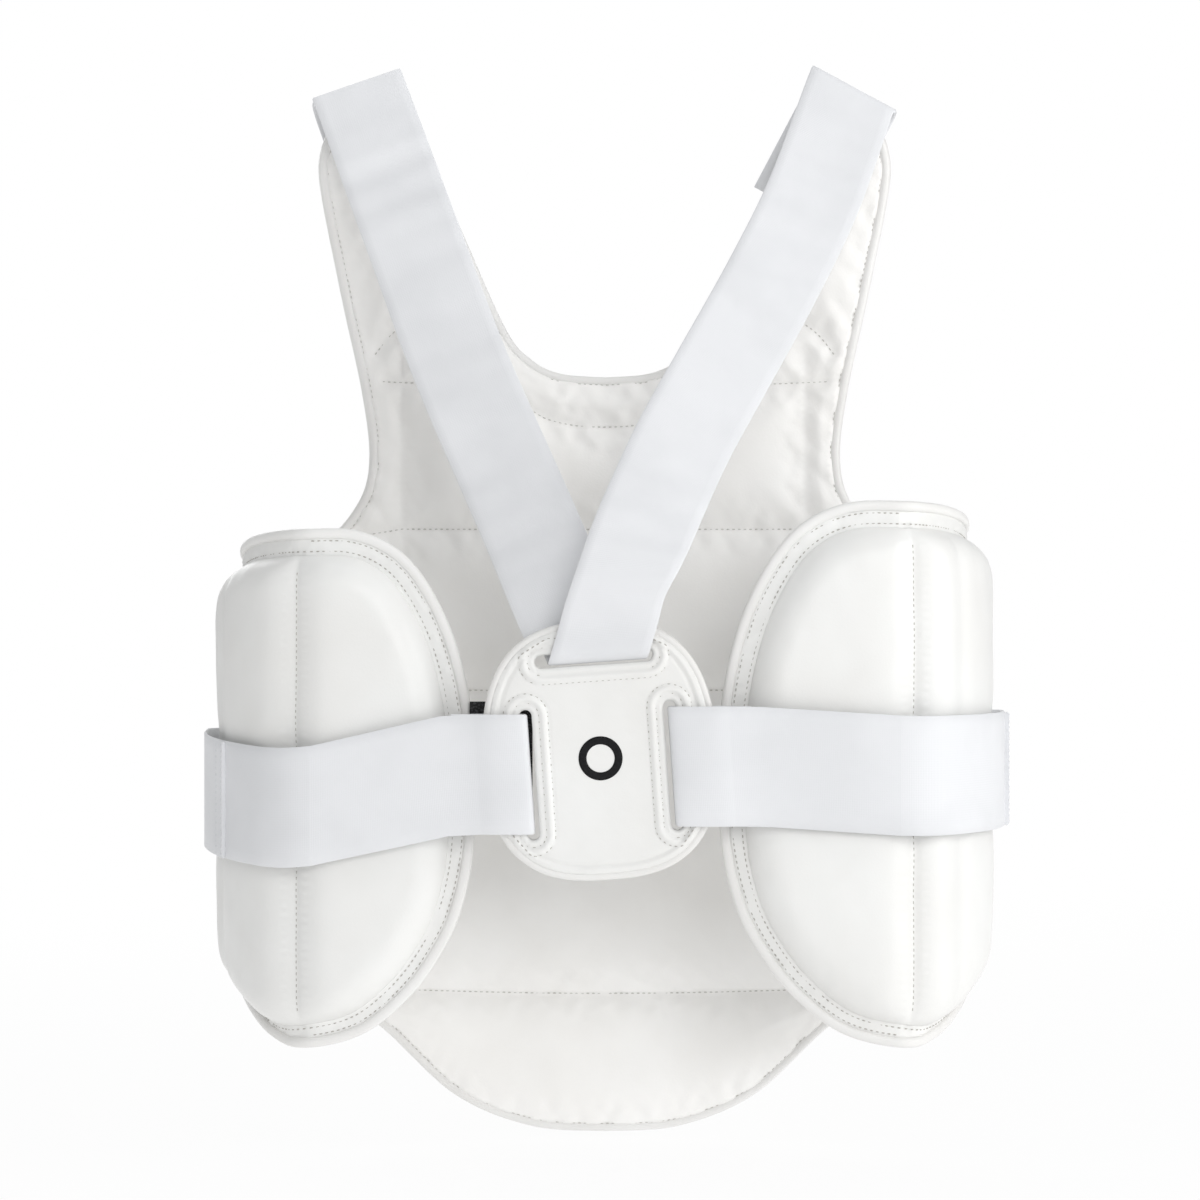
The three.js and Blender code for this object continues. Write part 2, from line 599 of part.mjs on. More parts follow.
function addShoulderStrap(side, lowerPoints) {
  const { width, thick, foldRadius, backLeg } = SHOULDER_WEBBING;
  const frame = foldFrame(side);
  const y = foldRadius + thick / 2;
  const top = [[y, -backLeg - 2 * GAP], [y + 4, -backLeg - 14]].map(
    ([back, z]) => new THREE.Vector3(0, back, z).applyMatrix4(frame));
  const path = new THREE.CatmullRomCurve3([...top, ...lowerPoints]);
  const stations = shoulderStations(path.getSpacedPoints(14));
  stations[0].across.setFromMatrixColumn(frame, 0);
  addMesh(part, side + "_shoulder_strap", webbing(stations, width, thick), ELASTIC);
  const last = stations[stations.length - 1];
  const onward = path.getTangentAt(1).multiplyScalar(2 * GAP);
  return { at: last.at.clone().add(onward), across: last.across };
}

const SHOULDER_RUNS = {
  left: [[99, -9, 469], [75, 16, 408], [39, 52, 326], [24.5, 70, 292]],
  right: [
    [-110, -22, 499], [-87, 4, 452], [-61, 30, 405], [-40, 55, 367], [-23, 79.5, 330], [-10.5, 96.15, 300],
  ],
};
// Where the webbing turns round the plate's top bar, from the left strap's end to the right one's.
const SLOT_BEND = [
  [8, 76, 264], [5, 77.4, 259], [4, 80, 256.6], [3.5, 86, 256.6], [2, 91, 260], [-3, 92.9, 275],
];

function addHarness() {
  const ends = {};
  for (const [side, run] of Object.entries(SHOULDER_RUNS)) {
    addShoulderFold(side);
    ends[side] = addShoulderStrap(side, run.map((spot) => new THREE.Vector3(...spot)));
  }
  const slotAcross = new THREE.Vector3(1, 0, 0).applyAxisAngle(new THREE.Vector3(0, 1, 0), PLATE.tilt);
  const bend = SLOT_BEND.map((spot) => ({ at: new THREE.Vector3(...spot), across: slotAcross }));
  const stations = [ends.left, ...bend, ends.right];
  const loop = webbing(stations, SHOULDER_WEBBING.width, SHOULDER_WEBBING.thick);
  addMesh(part, "shoulder_strap_loop", loop, ELASTIC);
}

addPanel();
addPanelBindings();
addWing("left");
addWing("right");
addPlate();
addHarness();

export default part;
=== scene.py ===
import json
import math

import bpy
import numpy as np
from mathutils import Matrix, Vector, bvhtree, geometry, kdtree


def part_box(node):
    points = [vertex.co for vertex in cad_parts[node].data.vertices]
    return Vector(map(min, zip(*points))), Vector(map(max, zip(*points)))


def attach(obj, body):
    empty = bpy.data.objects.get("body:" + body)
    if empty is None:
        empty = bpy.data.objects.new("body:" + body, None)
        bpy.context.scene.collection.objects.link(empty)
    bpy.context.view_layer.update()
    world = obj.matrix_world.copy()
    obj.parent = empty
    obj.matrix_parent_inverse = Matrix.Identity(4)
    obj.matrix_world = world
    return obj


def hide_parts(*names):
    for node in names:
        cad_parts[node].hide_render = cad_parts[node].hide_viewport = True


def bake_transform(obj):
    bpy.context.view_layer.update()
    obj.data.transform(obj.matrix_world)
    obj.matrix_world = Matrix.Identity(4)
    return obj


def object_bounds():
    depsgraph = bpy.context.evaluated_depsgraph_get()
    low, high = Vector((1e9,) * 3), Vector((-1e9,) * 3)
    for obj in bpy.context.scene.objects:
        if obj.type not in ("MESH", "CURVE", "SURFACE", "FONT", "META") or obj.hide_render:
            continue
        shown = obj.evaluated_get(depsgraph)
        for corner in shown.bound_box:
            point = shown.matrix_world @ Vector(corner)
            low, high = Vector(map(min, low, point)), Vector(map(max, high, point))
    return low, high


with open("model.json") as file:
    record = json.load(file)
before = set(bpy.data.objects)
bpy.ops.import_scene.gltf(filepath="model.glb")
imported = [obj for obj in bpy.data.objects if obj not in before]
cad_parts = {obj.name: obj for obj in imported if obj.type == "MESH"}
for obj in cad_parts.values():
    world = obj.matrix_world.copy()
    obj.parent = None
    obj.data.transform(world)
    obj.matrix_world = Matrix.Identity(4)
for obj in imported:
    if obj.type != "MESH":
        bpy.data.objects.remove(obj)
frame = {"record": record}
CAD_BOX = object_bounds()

# ---- driving dimensions -------------------------------------------------------------------------
MM = 0.001

# Front panel
PANEL_MID_Y = -64
PANEL_FLAT_HALF = 30
PANEL_HALF = 183
PANEL_WRAP = 22
SEAM_BOTTOM_Z = 98
SEAM_TOP_Z = 314
TAB_LEAN = math.tan(math.radians(6))
TAB_LEAN_Z = 430
TAB_LEAN_RUN = 40
PANEL_CORE = 6.8
PANEL_EDGE_HALF = 4.2
HEM = [(0, 0), (40, 3), (80, 20), (118, 56), (150, 80), (183, 98)]
ARMHOLE = [(183, 314), (150, 318), (131, 338), (125, 362), (129, 398), (140, 450), (150, 503)]
TAB_TOP = [(150, 503), (150, 524), (143, 538), (125, 544.5), (106, 549)]
NECK = [(101, 540), (82, 497), (54, 434), (40, 416), (24, 408), (0, 406)]
BINDING_WIDTH = 5.5
UNDER_BINDING = 0.7

# Flank wings
CHANNEL = (151.5, 64)
SIDE_HEADING = math.radians(-48)
SIDE_TURN = math.radians(50)
SIDE_LENGTH = 118
BACK_HEADING = math.radians(178)
WING_BOTTOM = 60
WING_BOARD = 5
WING_EDGE_HALF = 3.2
CORNER_REACH = 5

# Elastic webbing
WAIST = {"width": 60, "thick": 1.6, "offset": 23.5, "end": 76}
SHOULDER = {"width": 50, "thick": 1.6, "fold_radius": 9}
FOLD = {"x": 128, "z": 549}

# Back plate
PLATE = {"x": 2.5, "y": 84, "z": 211, "half_width": 59, "half_height": 65, "tilt": math.radians(4)}
TOP_SLOT = {"x": 0, "z": 46, "width": 58, "height": 5.4}
SIDE_SLOT = {"x": 36, "z": -10, "width": 5, "height": 64}

SIDES = {
    "left": {
        "sign": 1, "top": 322, "back": 86, "slant": math.radians(19),
        "waist_plate": 199, "waist_channel": 182, "waist_seam": 189, "hem": -44, "crease": -62,
    },
    "right": {
        "sign": -1, "top": 336, "back": 94, "slant": math.radians(28),
        "waist_plate": 203, "waist_channel": 198, "waist_seam": 198, "hem": -86, "crease": -25,
    },
}

# Mesh and stitch fineness
SHEET_STEP = 2.2
STRAP_COLUMNS = 12
SLACK_WAVE = 46
SLACK_RAMP = 30
SLACK_SEED = 61
EDGE_STEP = 2.0
CURVE_STEPS = 24
STITCH_PITCH = 3.0
STITCH_LENGTH = 1.6
STITCH_RADIUS = 0.3
STITCH_SIDES = 6
STITCH_SHAPE = ((-0.5, 0.3), (-0.36, 0.95), (0, 1.1), (0.36, 0.95), (0.5, 0.3))
RIM_SIDES = 16
RIM_ROUNDING = 0.7

# Cloth simulation of the cushions, and the furthest that it moves a point
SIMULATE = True
PAD_SWELL = 2.6
CLOTH_FRAMES = 18
CLOTH = {
    "use_pressure": True,
    "uniform_pressure_force": 3.5,
    "quality": 4,
    "tension_stiffness": 12,
    "compression_stiffness": 12,
    "bending_stiffness": 0.3,
}


def drawing_origin_y():
    """Drawing-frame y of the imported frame's origin, in mm, from the mount on the panel's inner face."""
    face = next(m for m in frame["record"]["mounts"] if m["name"] == "wearer_face")
    return PANEL_MID_Y - face["pos_m"][1] / MM


ORIGIN_Y = drawing_origin_y()


# ---- curves -------------------------------------------------------------------------------------
def lengths_along(path):
    """Distance along a polyline at each of its points."""
    steps = np.linalg.norm(np.diff(path, axis=0), axis=1)
    return np.concatenate([[0.0], np.cumsum(steps)])


def resample(path, step=EDGE_STEP):
    """The same polyline with points about `step` apart, ends kept."""
    path = np.asarray(path, float)
    distance = lengths_along(path)
    count = max(2, int(round(distance[-1] / step)) + 1)
    wanted = np.linspace(0, distance[-1], count)
    return np.stack([np.interp(wanted, distance, path[:, k]) for k in range(path.shape[1])], axis=1)


def curve(points, step=EDGE_STEP):
    """Points about `step` apart along a Catmull-Rom curve through 2D or 3D points."""
    knots = np.asarray(points, float)
    last = len(knots) - 1
    t = np.linspace(0, 1, CURVE_STEPS, endpoint=False)[:, None]
    fine = []
    for i in range(last):
        before, start, end, after = (knots[min(max(i + k, 0), last)] for k in (-1, 0, 1, 2))
        leave = (end - before) / 2
        arrive = (after - start) / 2
        cubic = 2 * start - 2 * end + leave + arrive
        square = -3 * start + 3 * end - 2 * leave - arrive
        fine.append(cubic * t**3 + square * t**2 + leave * t + start)
    fine.append(knots[-1:])
    return resample(np.concatenate(fine), step)


def tangents(path, closed=False):
    """Unit direction of travel at each point."""
    if closed:
        ahead = np.roll(path, -1, axis=0) - np.roll(path, 1, axis=0)
    else:
        ahead = np.gradient(path, axis=0)
    return unit(ahead)


def beside(path, distance, closed=False):
    """A flat path moved sideways, to its right when distance is positive."""
    direction = tangents(path, closed)
    distance = np.broadcast_to(distance, len(path))[:, None]
    return path + distance * np.stack([direction[:, 1], -direction[:, 0]], axis=1)


def joined(*paths):
    """One polyline from several that meet end to end."""
    kept = [np.asarray(paths[0], float)]
    for path in paths[1:]:
        kept.append(np.asarray(path, float)[1:])
    return np.concatenate(kept)


def closed_path(outline):
    """An outline with its first point repeated at the end."""
    return np.concatenate([outline, outline[:1]])


def mirrored(path):
    """The path reflected in u, in reverse order so that it can close an outline."""
    return (np.asarray(path, float) * [-1, 1])[::-1]


def unit(vectors):
    """Each row at length 1."""
    return vectors / np.maximum(np.linalg.norm(vectors, axis=-1, keepdims=True), 1e-9)


def turn(count):
    """Angles of `count` even steps round a circle."""
    return np.linspace(0, math.tau, count, endpoint=False)


def smoothstep(value, low, high):
    """0 below `low`, 1 above `high` and smooth between."""
    t = np.clip((value - low) / (high - low), 0, 1)
    return t * t * (3 - 2 * t)


def ripple(points, wavelength, seed, octaves=3):
    """Smooth seeded unevenness between about -1 and 1 at (N, 2) points, from crossed waves."""
    random = np.random.default_rng(seed)
    total = np.zeros(len(points))
    weight = 0
    for octave in range(octaves):
        for _ in range(5):
            angle = random.uniform(0, math.tau)
            phase = random.uniform(0, math.tau)
            reach = math.tau * random.uniform(0.7, 1.4) * 1.8**octave / wavelength
            wave = np.sin(reach * (points[:, 0] * math.cos(angle) + points[:, 1] * math.sin(angle)) + phase)
            total += wave / 1.8**octave
        weight += 2.2 / 1.8**octave
    return total / weight


# ---- flat sheets and closed skins ---------------------------------------------------------------
def inside(points, outline):
    """Which (N, 2) points lie inside a closed outline."""
    result = np.zeros(len(points), bool)
    for (u0, v0), (u1, v1) in zip(outline, np.roll(outline, -1, axis=0)):
        if v0 == v1:
            continue
        spans = (v0 > points[:, 1]) != (v1 > points[:, 1])
        crossing = u0 + (points[:, 1] - v0) * (u1 - u0) / (v1 - v0)
        result ^= spans & (points[:, 0] < crossing)
    return result


def distance_to(points, *paths):
    """Distance of each flat point from the nearest of some finely sampled paths."""
    samples = np.concatenate([resample(path, 1.0) for path in paths])
    tree = kdtree.KDTree(len(samples))
    for index, sample in enumerate(samples):
        tree.insert((sample[0], sample[1], 0), index)
    tree.balance()
    return np.array([tree.find((point[0], point[1], 0))[2] for point in points])


def without_end(outline):
    """A closed outline without its repeated last point."""
    outline = np.asarray(outline, float)
    return outline[:-1] if np.linalg.norm(outline[0] - outline[-1]) < 1e-6 else outline


def fill(outline, step=SHEET_STEP, holes=(), lines=()):
    """Even triangles inside a closed outline, with points along `lines`: (N, 2) points, (M, 3) indices."""
    outline = without_end(outline)
    loops = [outline] + [without_end(hole) for hole in holes]
    low, high = outline.min(axis=0), outline.max(axis=0)
    row = step * math.sqrt(3) / 2
    grid = []
    for j in range(int((high[1] - low[1]) / row) + 1):
        start = low[0] + (step / 2 if j % 2 else 0)
        for u in np.arange(start, high[0], step):
            grid.append((u, low[1] + j * row))
    grid = np.array(grid)
    grid = grid[inside(grid, outline)]
    borders = [closed_path(loop) for loop in loops]
    grid = grid[distance_to(grid, *borders, *lines) > 0.6 * step]
    points = list(loops[0])
    edges = [(i, (i + 1) % len(outline)) for i in range(len(outline))]
    for hole in loops[1:]:
        base = len(points)
        points.extend(hole)
        edges.extend((base + i, base + (i + 1) % len(hole)) for i in range(len(hole)))
    points.extend(grid)
    for line in lines:
        points.extend(line)
    verts, _, faces, _, _, _ = geometry.delaunay_2d_cdt(
        [Vector(p) for p in points], edges, [list(range(len(outline)))], 1, 1e-4
    )
    flat = np.array([(v.x, v.y) for v in verts])
    triangles = np.array([f for f in faces if len(f) == 3])
    middles = flat[triangles].mean(axis=1)
    for hole in loops[1:]:
        keep = ~inside(middles, hole)
        triangles, middles = triangles[keep], middles[keep]
    used = np.unique(triangles)
    renumber = np.full(len(flat), -1)
    renumber[used] = np.arange(len(used))
    return flat[used], renumber[triangles]


def evaluated(piece):
    """The piece with its modifiers worked out."""
    return piece.evaluated_get(bpy.context.evaluated_depsgraph_get())


def add_object(name, data):
    """A new object for some mesh, light or camera data, in the scene."""
    thing = bpy.data.objects.new(name, data)
    bpy.context.scene.collection.objects.link(thing)
    return thing


def turn_outward(data, points):
    """Flips the faces of a closed mesh that was built inside out, as mirrored ones are."""
    data.calc_loop_triangles()
    corners = np.zeros(len(data.loop_triangles) * 3, np.int32)
    data.loop_triangles.foreach_get("vertices", corners)
    a, b, c = points[corners.reshape(-1, 3)].transpose(1, 0, 2)
    if np.einsum("ij,ij->", a, np.cross(b, c)) < 0:
        data.flip_normals()


def build_mesh(name, points, faces, material, attributes=()):
    """A smooth mesh object from drawing-frame mm points. `attributes` holds (name, values) pairs."""
    placed = (np.asarray(points, float) - [0, ORIGIN_Y, 0]) * MM
    data = bpy.data.meshes.new(name)
    data.from_pydata(placed.tolist(), [], [list(map(int, face)) for face in faces])
    turn_outward(data, placed)
    data.materials.append(material)
    data.shade_smooth()
    for attribute, values in attributes:
        layer = data.attributes.new(attribute, "FLOAT", "POINT")
        layer.data.foreach_set("value", np.asarray(values, np.float32))
    return add_object(name, data)


def border_edges(triangles):
    """Directed edges that only one triangle uses."""
    edges = np.concatenate([triangles[:, [0, 1]], triangles[:, [1, 2]], triangles[:, [2, 0]]])
    keys = {(a, b) for a, b in edges.tolist()}
    return [(a, b) for a, b in edges.tolist() if (b, a) not in keys]


def skin(name, triangles, top, bottom, material):
    """A closed skin between two layers of the same flat sheet; `top` is the side its triangles face."""
    count = len(top)
    faces = triangles.tolist()
    faces += (triangles[:, ::-1] + count).tolist()
    faces += [[b, a, a + count, b + count] for a, b in border_edges(triangles)]
    return build_mesh(name, np.concatenate([top, bottom]), faces, material)


def tube_faces(rings, around, closed):
    """Quads of a tube with `rings` rings of `around` points; an open tube gets end caps."""
    faces = []
    for i in range(rings if closed else rings - 1):
        here, there = i * around, ((i + 1) % rings) * around
        for j in range(around):
            k = (j + 1) % around
            faces.append([here + j, here + k, there + k, there + j])
    if not closed:
        faces.append(list(range(around))[::-1])
        faces.append([(rings - 1) * around + j for j in range(around)])
    return faces


def tube(name, rings, material, closed=False, attributes=()):
    """A tube through (R, A, 3) rings, each turning anticlockwise when seen from further along."""
    rings = np.asarray(rings, float)
    count, around = rings.shape[:2]
    return build_mesh(name, rings.reshape(-1, 3), tube_faces(count, around, closed), material, attributes)


def rim(name, path, place, middle, half_width, half_thick, material, closed=False):
    """A folded binding whose flat middle line is `path`; place(flat, w) bends it to the part."""
    direction = tangents(path, closed)
    outward = np.stack([direction[:, 1], -direction[:, 0]], axis=1)
    middle = np.broadcast_to(middle, len(path))
    rings = []
    for angle in turn(RIM_SIDES):
        c, s = math.cos(angle), math.sin(angle)
        sideways = half_width * math.copysign(abs(c) ** RIM_ROUNDING, c)
        height = half_thick * math.copysign(abs(s) ** RIM_ROUNDING, s)
        rings.append(place(path + outward * sideways, middle + height))
    along = np.repeat(lengths_along(path), RIM_SIDES)
    return tube(name, np.stack(rings, axis=1), material, closed, [("along", along)])


def resting_on(piece, place):
    """height(flat): the w at which a ray from outside meets the finished piece."""
    tree = bvhtree.BVHTree.FromObject(piece, bpy.context.evaluated_depsgraph_get())
    far = 60

    def height(flat):
        outside, surface = place(flat, far), place(flat, 0.0)
        found = []
        for start, end in zip(outside, surface):
            origin = Vector(metres(start))
            aim = (Vector(metres(end)) - origin).normalized()
            distance = tree.ray_cast(origin, aim)[3]
            found.append(far - distance / MM if distance else 0.0)
        return np.array(found)

    return height


def stitch_template():
    """One thread stitch along +x: rings of (x, radius) as shares of its length and radius."""
    rings = []
    for x, radius in STITCH_SHAPE:
        for angle in turn(STITCH_SIDES):
            rings.append((x, radius * math.cos(angle), radius * math.sin(angle)))
    return np.array(rings), tube_faces(len(STITCH_SHAPE), STITCH_SIDES, False)


def stitch_row(path, place, height, closed=False):
    """Centre, direction, side and normal of each stitch along a flat path; height(flat) is its w."""
    spots = resample(path, STITCH_PITCH)
    if closed:
        spots = spots[:-1]
    direction = tangents(spots, closed)
    w = height(spots) if callable(height) else np.full(len(spots), float(height))
    centre = place(spots, w)
    ahead = unit(place(spots + 0.5 * direction, w) - place(spots - 0.5 * direction, w))
    normal = place(spots, w + 1) - centre
    return centre, ahead, np.cross(normal, ahead), normal


def sew(name, rows, material):
    """One mesh of thread stitches for several stitch rows."""
    template, faces = stitch_template()
    centre, ahead, side, normal = (np.concatenate([row[k] for row in rows]) for k in range(4))
    points = (
        centre[:, None]
        + STITCH_LENGTH * template[None, :, :1] * ahead[:, None]
        + STITCH_RADIUS * template[None, :, 1:2] * side[:, None]
        + STITCH_RADIUS * template[None, :, 2:] * normal[:, None]
    )
    size = len(template)
    all_faces = [[i * size + k for k in face] for i in range(len(centre)) for face in faces]
    return build_mesh(name, points.reshape(-1, 3), all_faces, material)


def webbing_profile(width, thick):
    """(across, out) points round the section of a flat strap with thin selvedges."""
    inner = width / 2 - 0.5 * thick
    across = np.linspace(inner, -inner, STRAP_COLUMNS)
    face = np.full(STRAP_COLUMNS, thick / 2)
    top = np.stack([across, face], axis=1)
    bottom = np.stack([across[::-1], -face], axis=1)
    return np.concatenate([top, [(-width / 2, 0)], bottom, [(width / 2, 0)]])


def webbing_rings(centre, across, width, thick):
    """Rings of a flat strap along 3D points; `across` is its width direction at each point."""
    side = unit(across)
    face = unit(np.cross(tangents(centre), side))
    profile = webbing_profile(width, thick)
    return centre[:, None] + profile[None, :, :1] * side[:, None] + profile[None, :, 1:] * face[:, None]


def webbing(name, centre, across, width, thick, material, part=slice(None), slack=None):
    """A flat woven strap; `part` takes a stretch of it, so that two pieces can meet without a gap.

    `slack` is (height, from, to): soft waves of that height between those lengths along the strap.
    """
    centre = np.asarray(centre, float)
    rings = webbing_rings(centre, across, width, thick)
    profile = webbing_profile(width, thick)
    along = np.repeat(lengths_along(centre), len(profile))
    place_across = np.tile(profile[:, 0], len(rings))
    if slack:
        height, start, end = slack
        rise = smoothstep(along, start, start + SLACK_RAMP)
        reach = height * rise * (1 - smoothstep(along, end - SLACK_RAMP, end))
        waves = ripple(np.stack([along, 0.35 * place_across], axis=1), SLACK_WAVE, SLACK_SEED, 2)
        face = unit(np.cross(tangents(centre), across))
        rings = rings + (reach * waves).reshape(len(rings), -1, 1) * face[:, None]
    along = along.reshape(len(rings), -1)[part].ravel()
    place_across = place_across.reshape(len(rings), -1)[part].ravel()
    piece = tube(name, rings[part], material, False, [("along", along), ("across", place_across)])
    piece.data.set_sharp_from_angle(angle=math.radians(60))
    return piece


def cut_strap(centre, across, size, stretches, slack=None):
    """Pieces of one elastic strap, from (name, part, replaced nodes, bend) for each."""
    for name, part, nodes, bend in stretches:
        piece = webbing(name, centre, across, size["width"], size["thick"], ELASTIC, part, slack)
        finish_piece(piece, nodes=nodes, blend=bend)


def inflate(piece, loose):
    """Puffs a piece with a cloth simulation. `loose` is how free each point is, 0 to 1."""
    if not SIMULATE:
        return
    scene = bpy.context.scene
    rest = np.zeros(len(piece.data.vertices) * 3)
    piece.data.vertices.foreach_get("co", rest)
    held = piece.vertex_groups.new(name="held")
    for index, freedom in enumerate(loose):
        held.add([index], 1 - float(freedom), "REPLACE")
    cloth = piece.modifiers.new("Cloth", "CLOTH")
    cloth.settings.vertex_group_mass = "held"
    cloth.settings.effector_weights.gravity = 0
    for setting, value in CLOTH.items():
        setattr(cloth.settings, setting, value)
    cloth.collision_settings.use_collision = False
    cloth.point_cache.frame_start = 1
    cloth.point_cache.frame_end = CLOTH_FRAMES
    for number in range(1, CLOTH_FRAMES + 1):
        scene.frame_set(number)
    moved = np.zeros(len(rest))
    evaluated(piece).data.vertices.foreach_get("co", moved)
    piece.modifiers.remove(cloth)
    piece.vertex_groups.clear()
    shift = (moved - rest).reshape(-1, 3)
    reach = np.linalg.norm(shift, axis=1)
    limit = PAD_SWELL * MM
    shift *= (limit * np.tanh(reach / limit) / np.maximum(reach, 1e-9))[:, None]
    piece.data.vertices.foreach_set("co", rest + shift.ravel())
    piece.data.update()
    scene.frame_set(1)


def finish_piece(piece, body=None, nodes=(), blend=None):
    """Hides the CAD nodes it replaces, then attaches the piece to its body, or with a bend only bakes its
    transform.
    """
    if nodes:
        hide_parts(*nodes)
    if blend:
        first, second, start, end = blend
        metres(start)
        metres(end)
        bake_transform(piece)
    else:
        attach(piece, body)


def metres(point):
    """A drawing-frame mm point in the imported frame's metres."""
    return (point[0] * MM, (point[1] - ORIGIN_Y) * MM, point[2] * MM)


# ---- materials ----------------------------------------------------------------------------------
PEBBLE_SCALE = 1100.0
RIB_PITCH = 1.2
COURSE_PITCH = 0.9


class Nodes:
    """Short names for building one node material."""

    def __init__(self, name, roughness):
        self.material = bpy.data.materials.new(name)
        self.material.use_nodes = True
        self.tree = self.material.node_tree
        self.shader = self.tree.nodes["Principled BSDF"]
        self.finish("Roughness", roughness)
        self.place = self.add("ShaderNodeTexCoord").outputs["Object"]

    def add(self, kind, inputs=None, **settings):
        node = self.tree.nodes.new(kind)
        for key, value in settings.items():
            setattr(node, key, value)
        for key, value in (inputs or {}).items():
            if isinstance(value, bpy.types.NodeSocket):
                self.tree.links.new(value, node.inputs[key])
            else:
                node.inputs[key].default_value = value
        return node

    def noise(self, scale, detail):
        wanted = {"Vector": self.place, "Scale": scale, "Detail": detail}
        return self.add("ShaderNodeTexNoise", wanted).outputs["Fac"]

    def cells(self, scale, feature="F1"):
        wanted = {"Vector": self.place, "Scale": scale}
        return self.add("ShaderNodeTexVoronoi", wanted, feature=feature).outputs["Distance"]

    def maths(self, operation, first, second=0.0):
        return self.add("ShaderNodeMath", {0: first, 1: second}, operation=operation).outputs[0]

    def remap(self, value, low, high, to_low=0.0, to_high=1.0):
        wanted = {"Value": value, "From Min": low, "From Max": high, "To Min": to_low, "To Max": to_high}
        return self.add("ShaderNodeMapRange", wanted).outputs["Result"]

    def blend(self, factor, first, second):
        wanted = {0: factor, 6: (*first, 1) if isinstance(first, tuple) else first, 7: (*second, 1)}
        return self.add("ShaderNodeMix", wanted, data_type="RGBA").outputs[2]

    def attribute(self, name):
        return self.add("ShaderNodeAttribute", attribute_name=name).outputs["Fac"]

    def finish(self, name, value):
        self.shader.inputs[name].default_value = value

    def wire(self, socket, name):
        self.tree.links.new(socket, self.shader.inputs[name])

    def colour(self, socket):
        self.wire(socket, "Base Color")

    def rough(self, socket):
        self.wire(socket, "Roughness")

    def bump(self, height, strength, distance, under=None):
        wanted = {"Height": height, "Strength": strength, "Distance": distance}
        if under:
            wanted["Normal"] = under
        normal = self.add("ShaderNodeBump", wanted).outputs["Normal"]
        self.wire(normal, "Normal")
        return normal


def make_leather(name, light, shade, roughness, grain, crease):
    """Coated synthetic leather: pebble grain, soft creases, uneven gloss and a faint tone drift."""
    n = Nodes(name, roughness)
    drift = n.noise(14.0, 4.0)
    handling = n.noise(55.0, 5.0)
    tone = n.blend(n.remap(drift, 0.35, 0.65), light, shade)
    n.colour(n.blend(n.remap(handling, 0.55, 0.8, 0, 0.35), tone, shade))
    n.rough(n.remap(handling, 0.3, 0.7, roughness - 0.06, roughness + 0.09))
    n.finish("Specular IOR Level", 0.45)
    n.finish("Sheen Weight", 0.05)
    pebble = n.cells(PEBBLE_SCALE, "SMOOTH_F1")
    fold = n.noise(38.0, 6.0)
    under = n.bump(fold, crease, 0.002)
    n.bump(pebble, grain, 0.00025, under)
    return n.material


def make_elastic(name, light, shade, rib_pitch):
    """Woven elastic: ribs along the strap, weft courses across it, a soft sheen and rubber lines."""
    n = Nodes(name, 0.72)
    along = n.attribute("along")
    across = n.attribute("across")
    rib = n.maths("SINE", n.maths("MULTIPLY", across, math.tau / rib_pitch))
    course = n.maths("SINE", n.maths("MULTIPLY", along, math.tau / COURSE_PITCH))
    weave = n.maths("ADD", n.maths("MULTIPLY", rib, 0.35), n.maths("MULTIPLY", course, 0.65))
    mottled = n.noise(600.0, 4.0)
    wear = n.noise(20.0, 3.0)
    ground = n.blend(n.remap(wear, 0.4, 0.65), light, shade)
    n.colour(n.blend(n.remap(weave, -1, 1, 0.16, 0.0), ground, shade))
    n.rough(n.remap(mottled, 0.3, 0.7, 0.62, 0.8))
    n.finish("Sheen Weight", 0.25)
    n.finish("Sheen Roughness", 0.4)
    under = n.bump(mottled, 0.1, 0.0002)
    n.bump(weave, 0.1, 0.0002, under)
    return n.material


def make_thread(name, light, shade):
    """Twisted sewing thread, its grey tones painted shade of the needle holes."""
    n = Nodes(name, 0.6)
    twist = n.noise(2500.0, 2.0)
    n.colour(n.blend(n.remap(twist, 0.35, 0.65), light, shade))
    n.bump(twist, 0.4, 0.0002)
    return n.material


def make_hook(name):
    """Black hook tape: a dense field of small plastic hooks."""
    n = Nodes(name, 0.55)
    hooks = n.cells(900.0)
    n.colour(n.blend(n.remap(hooks, 0.1, 0.6), (0.035, 0.035, 0.04), (0.004, 0.004, 0.005)))
    n.rough(n.remap(hooks, 0.0, 0.6, 0.4, 0.8))
    n.bump(hooks, 0.9, 0.0006)
    return n.material


def make_print(name):
    """Matt black screen print, slightly uneven over the leather grain."""
    n = Nodes(name, 0.5)
    speckle = n.noise(900.0, 4.0)
    n.colour(n.blend(n.remap(speckle, 0.35, 0.7), (0.004, 0.004, 0.005), (0.012, 0.012, 0.013)))
    n.rough(n.remap(speckle, 0.3, 0.7, 0.42, 0.6))
    n.finish("Specular IOR Level", 0.15)
    n.bump(n.cells(PEBBLE_SCALE, "SMOOTH_F1"), 0.2, 0.0002)
    return n.material


# Name, light and dark tone, then roughness, grain and crease, or the rib pitch of the elastic.
LEATHER = make_leather("white_leather", (0.83, 0.83, 0.815), (0.795, 0.79, 0.77), 0.4, 0.12, 0.1)
# The lining is toned lighter than the cover leather as painted light, lifting the shade inside the panel.
LINING = make_leather("lining_leather", (0.92, 0.912, 0.895), (0.88, 0.868, 0.845), 0.48, 0.16, 0.2)
BINDING = make_leather("binding_leather", (0.82, 0.815, 0.80), (0.77, 0.76, 0.74), 0.45, 0.2, 0.14)
ELASTIC = make_elastic("white_elastic", (0.77, 0.777, 0.795), (0.72, 0.728, 0.745), RIB_PITCH)
# The grey of these thread tones is painted shade of the needle holes round each stitch.
THREAD = make_thread("sewing_thread", (0.55, 0.535, 0.5), (0.38, 0.365, 0.335))
THREAD_PALE = make_thread("pale_thread", (0.66, 0.65, 0.62), (0.5, 0.49, 0.46))
THREAD_WHITE = make_thread("white_thread", (0.74, 0.75, 0.77), (0.6, 0.61, 0.63))
HOOK = make_hook("hook_tape")
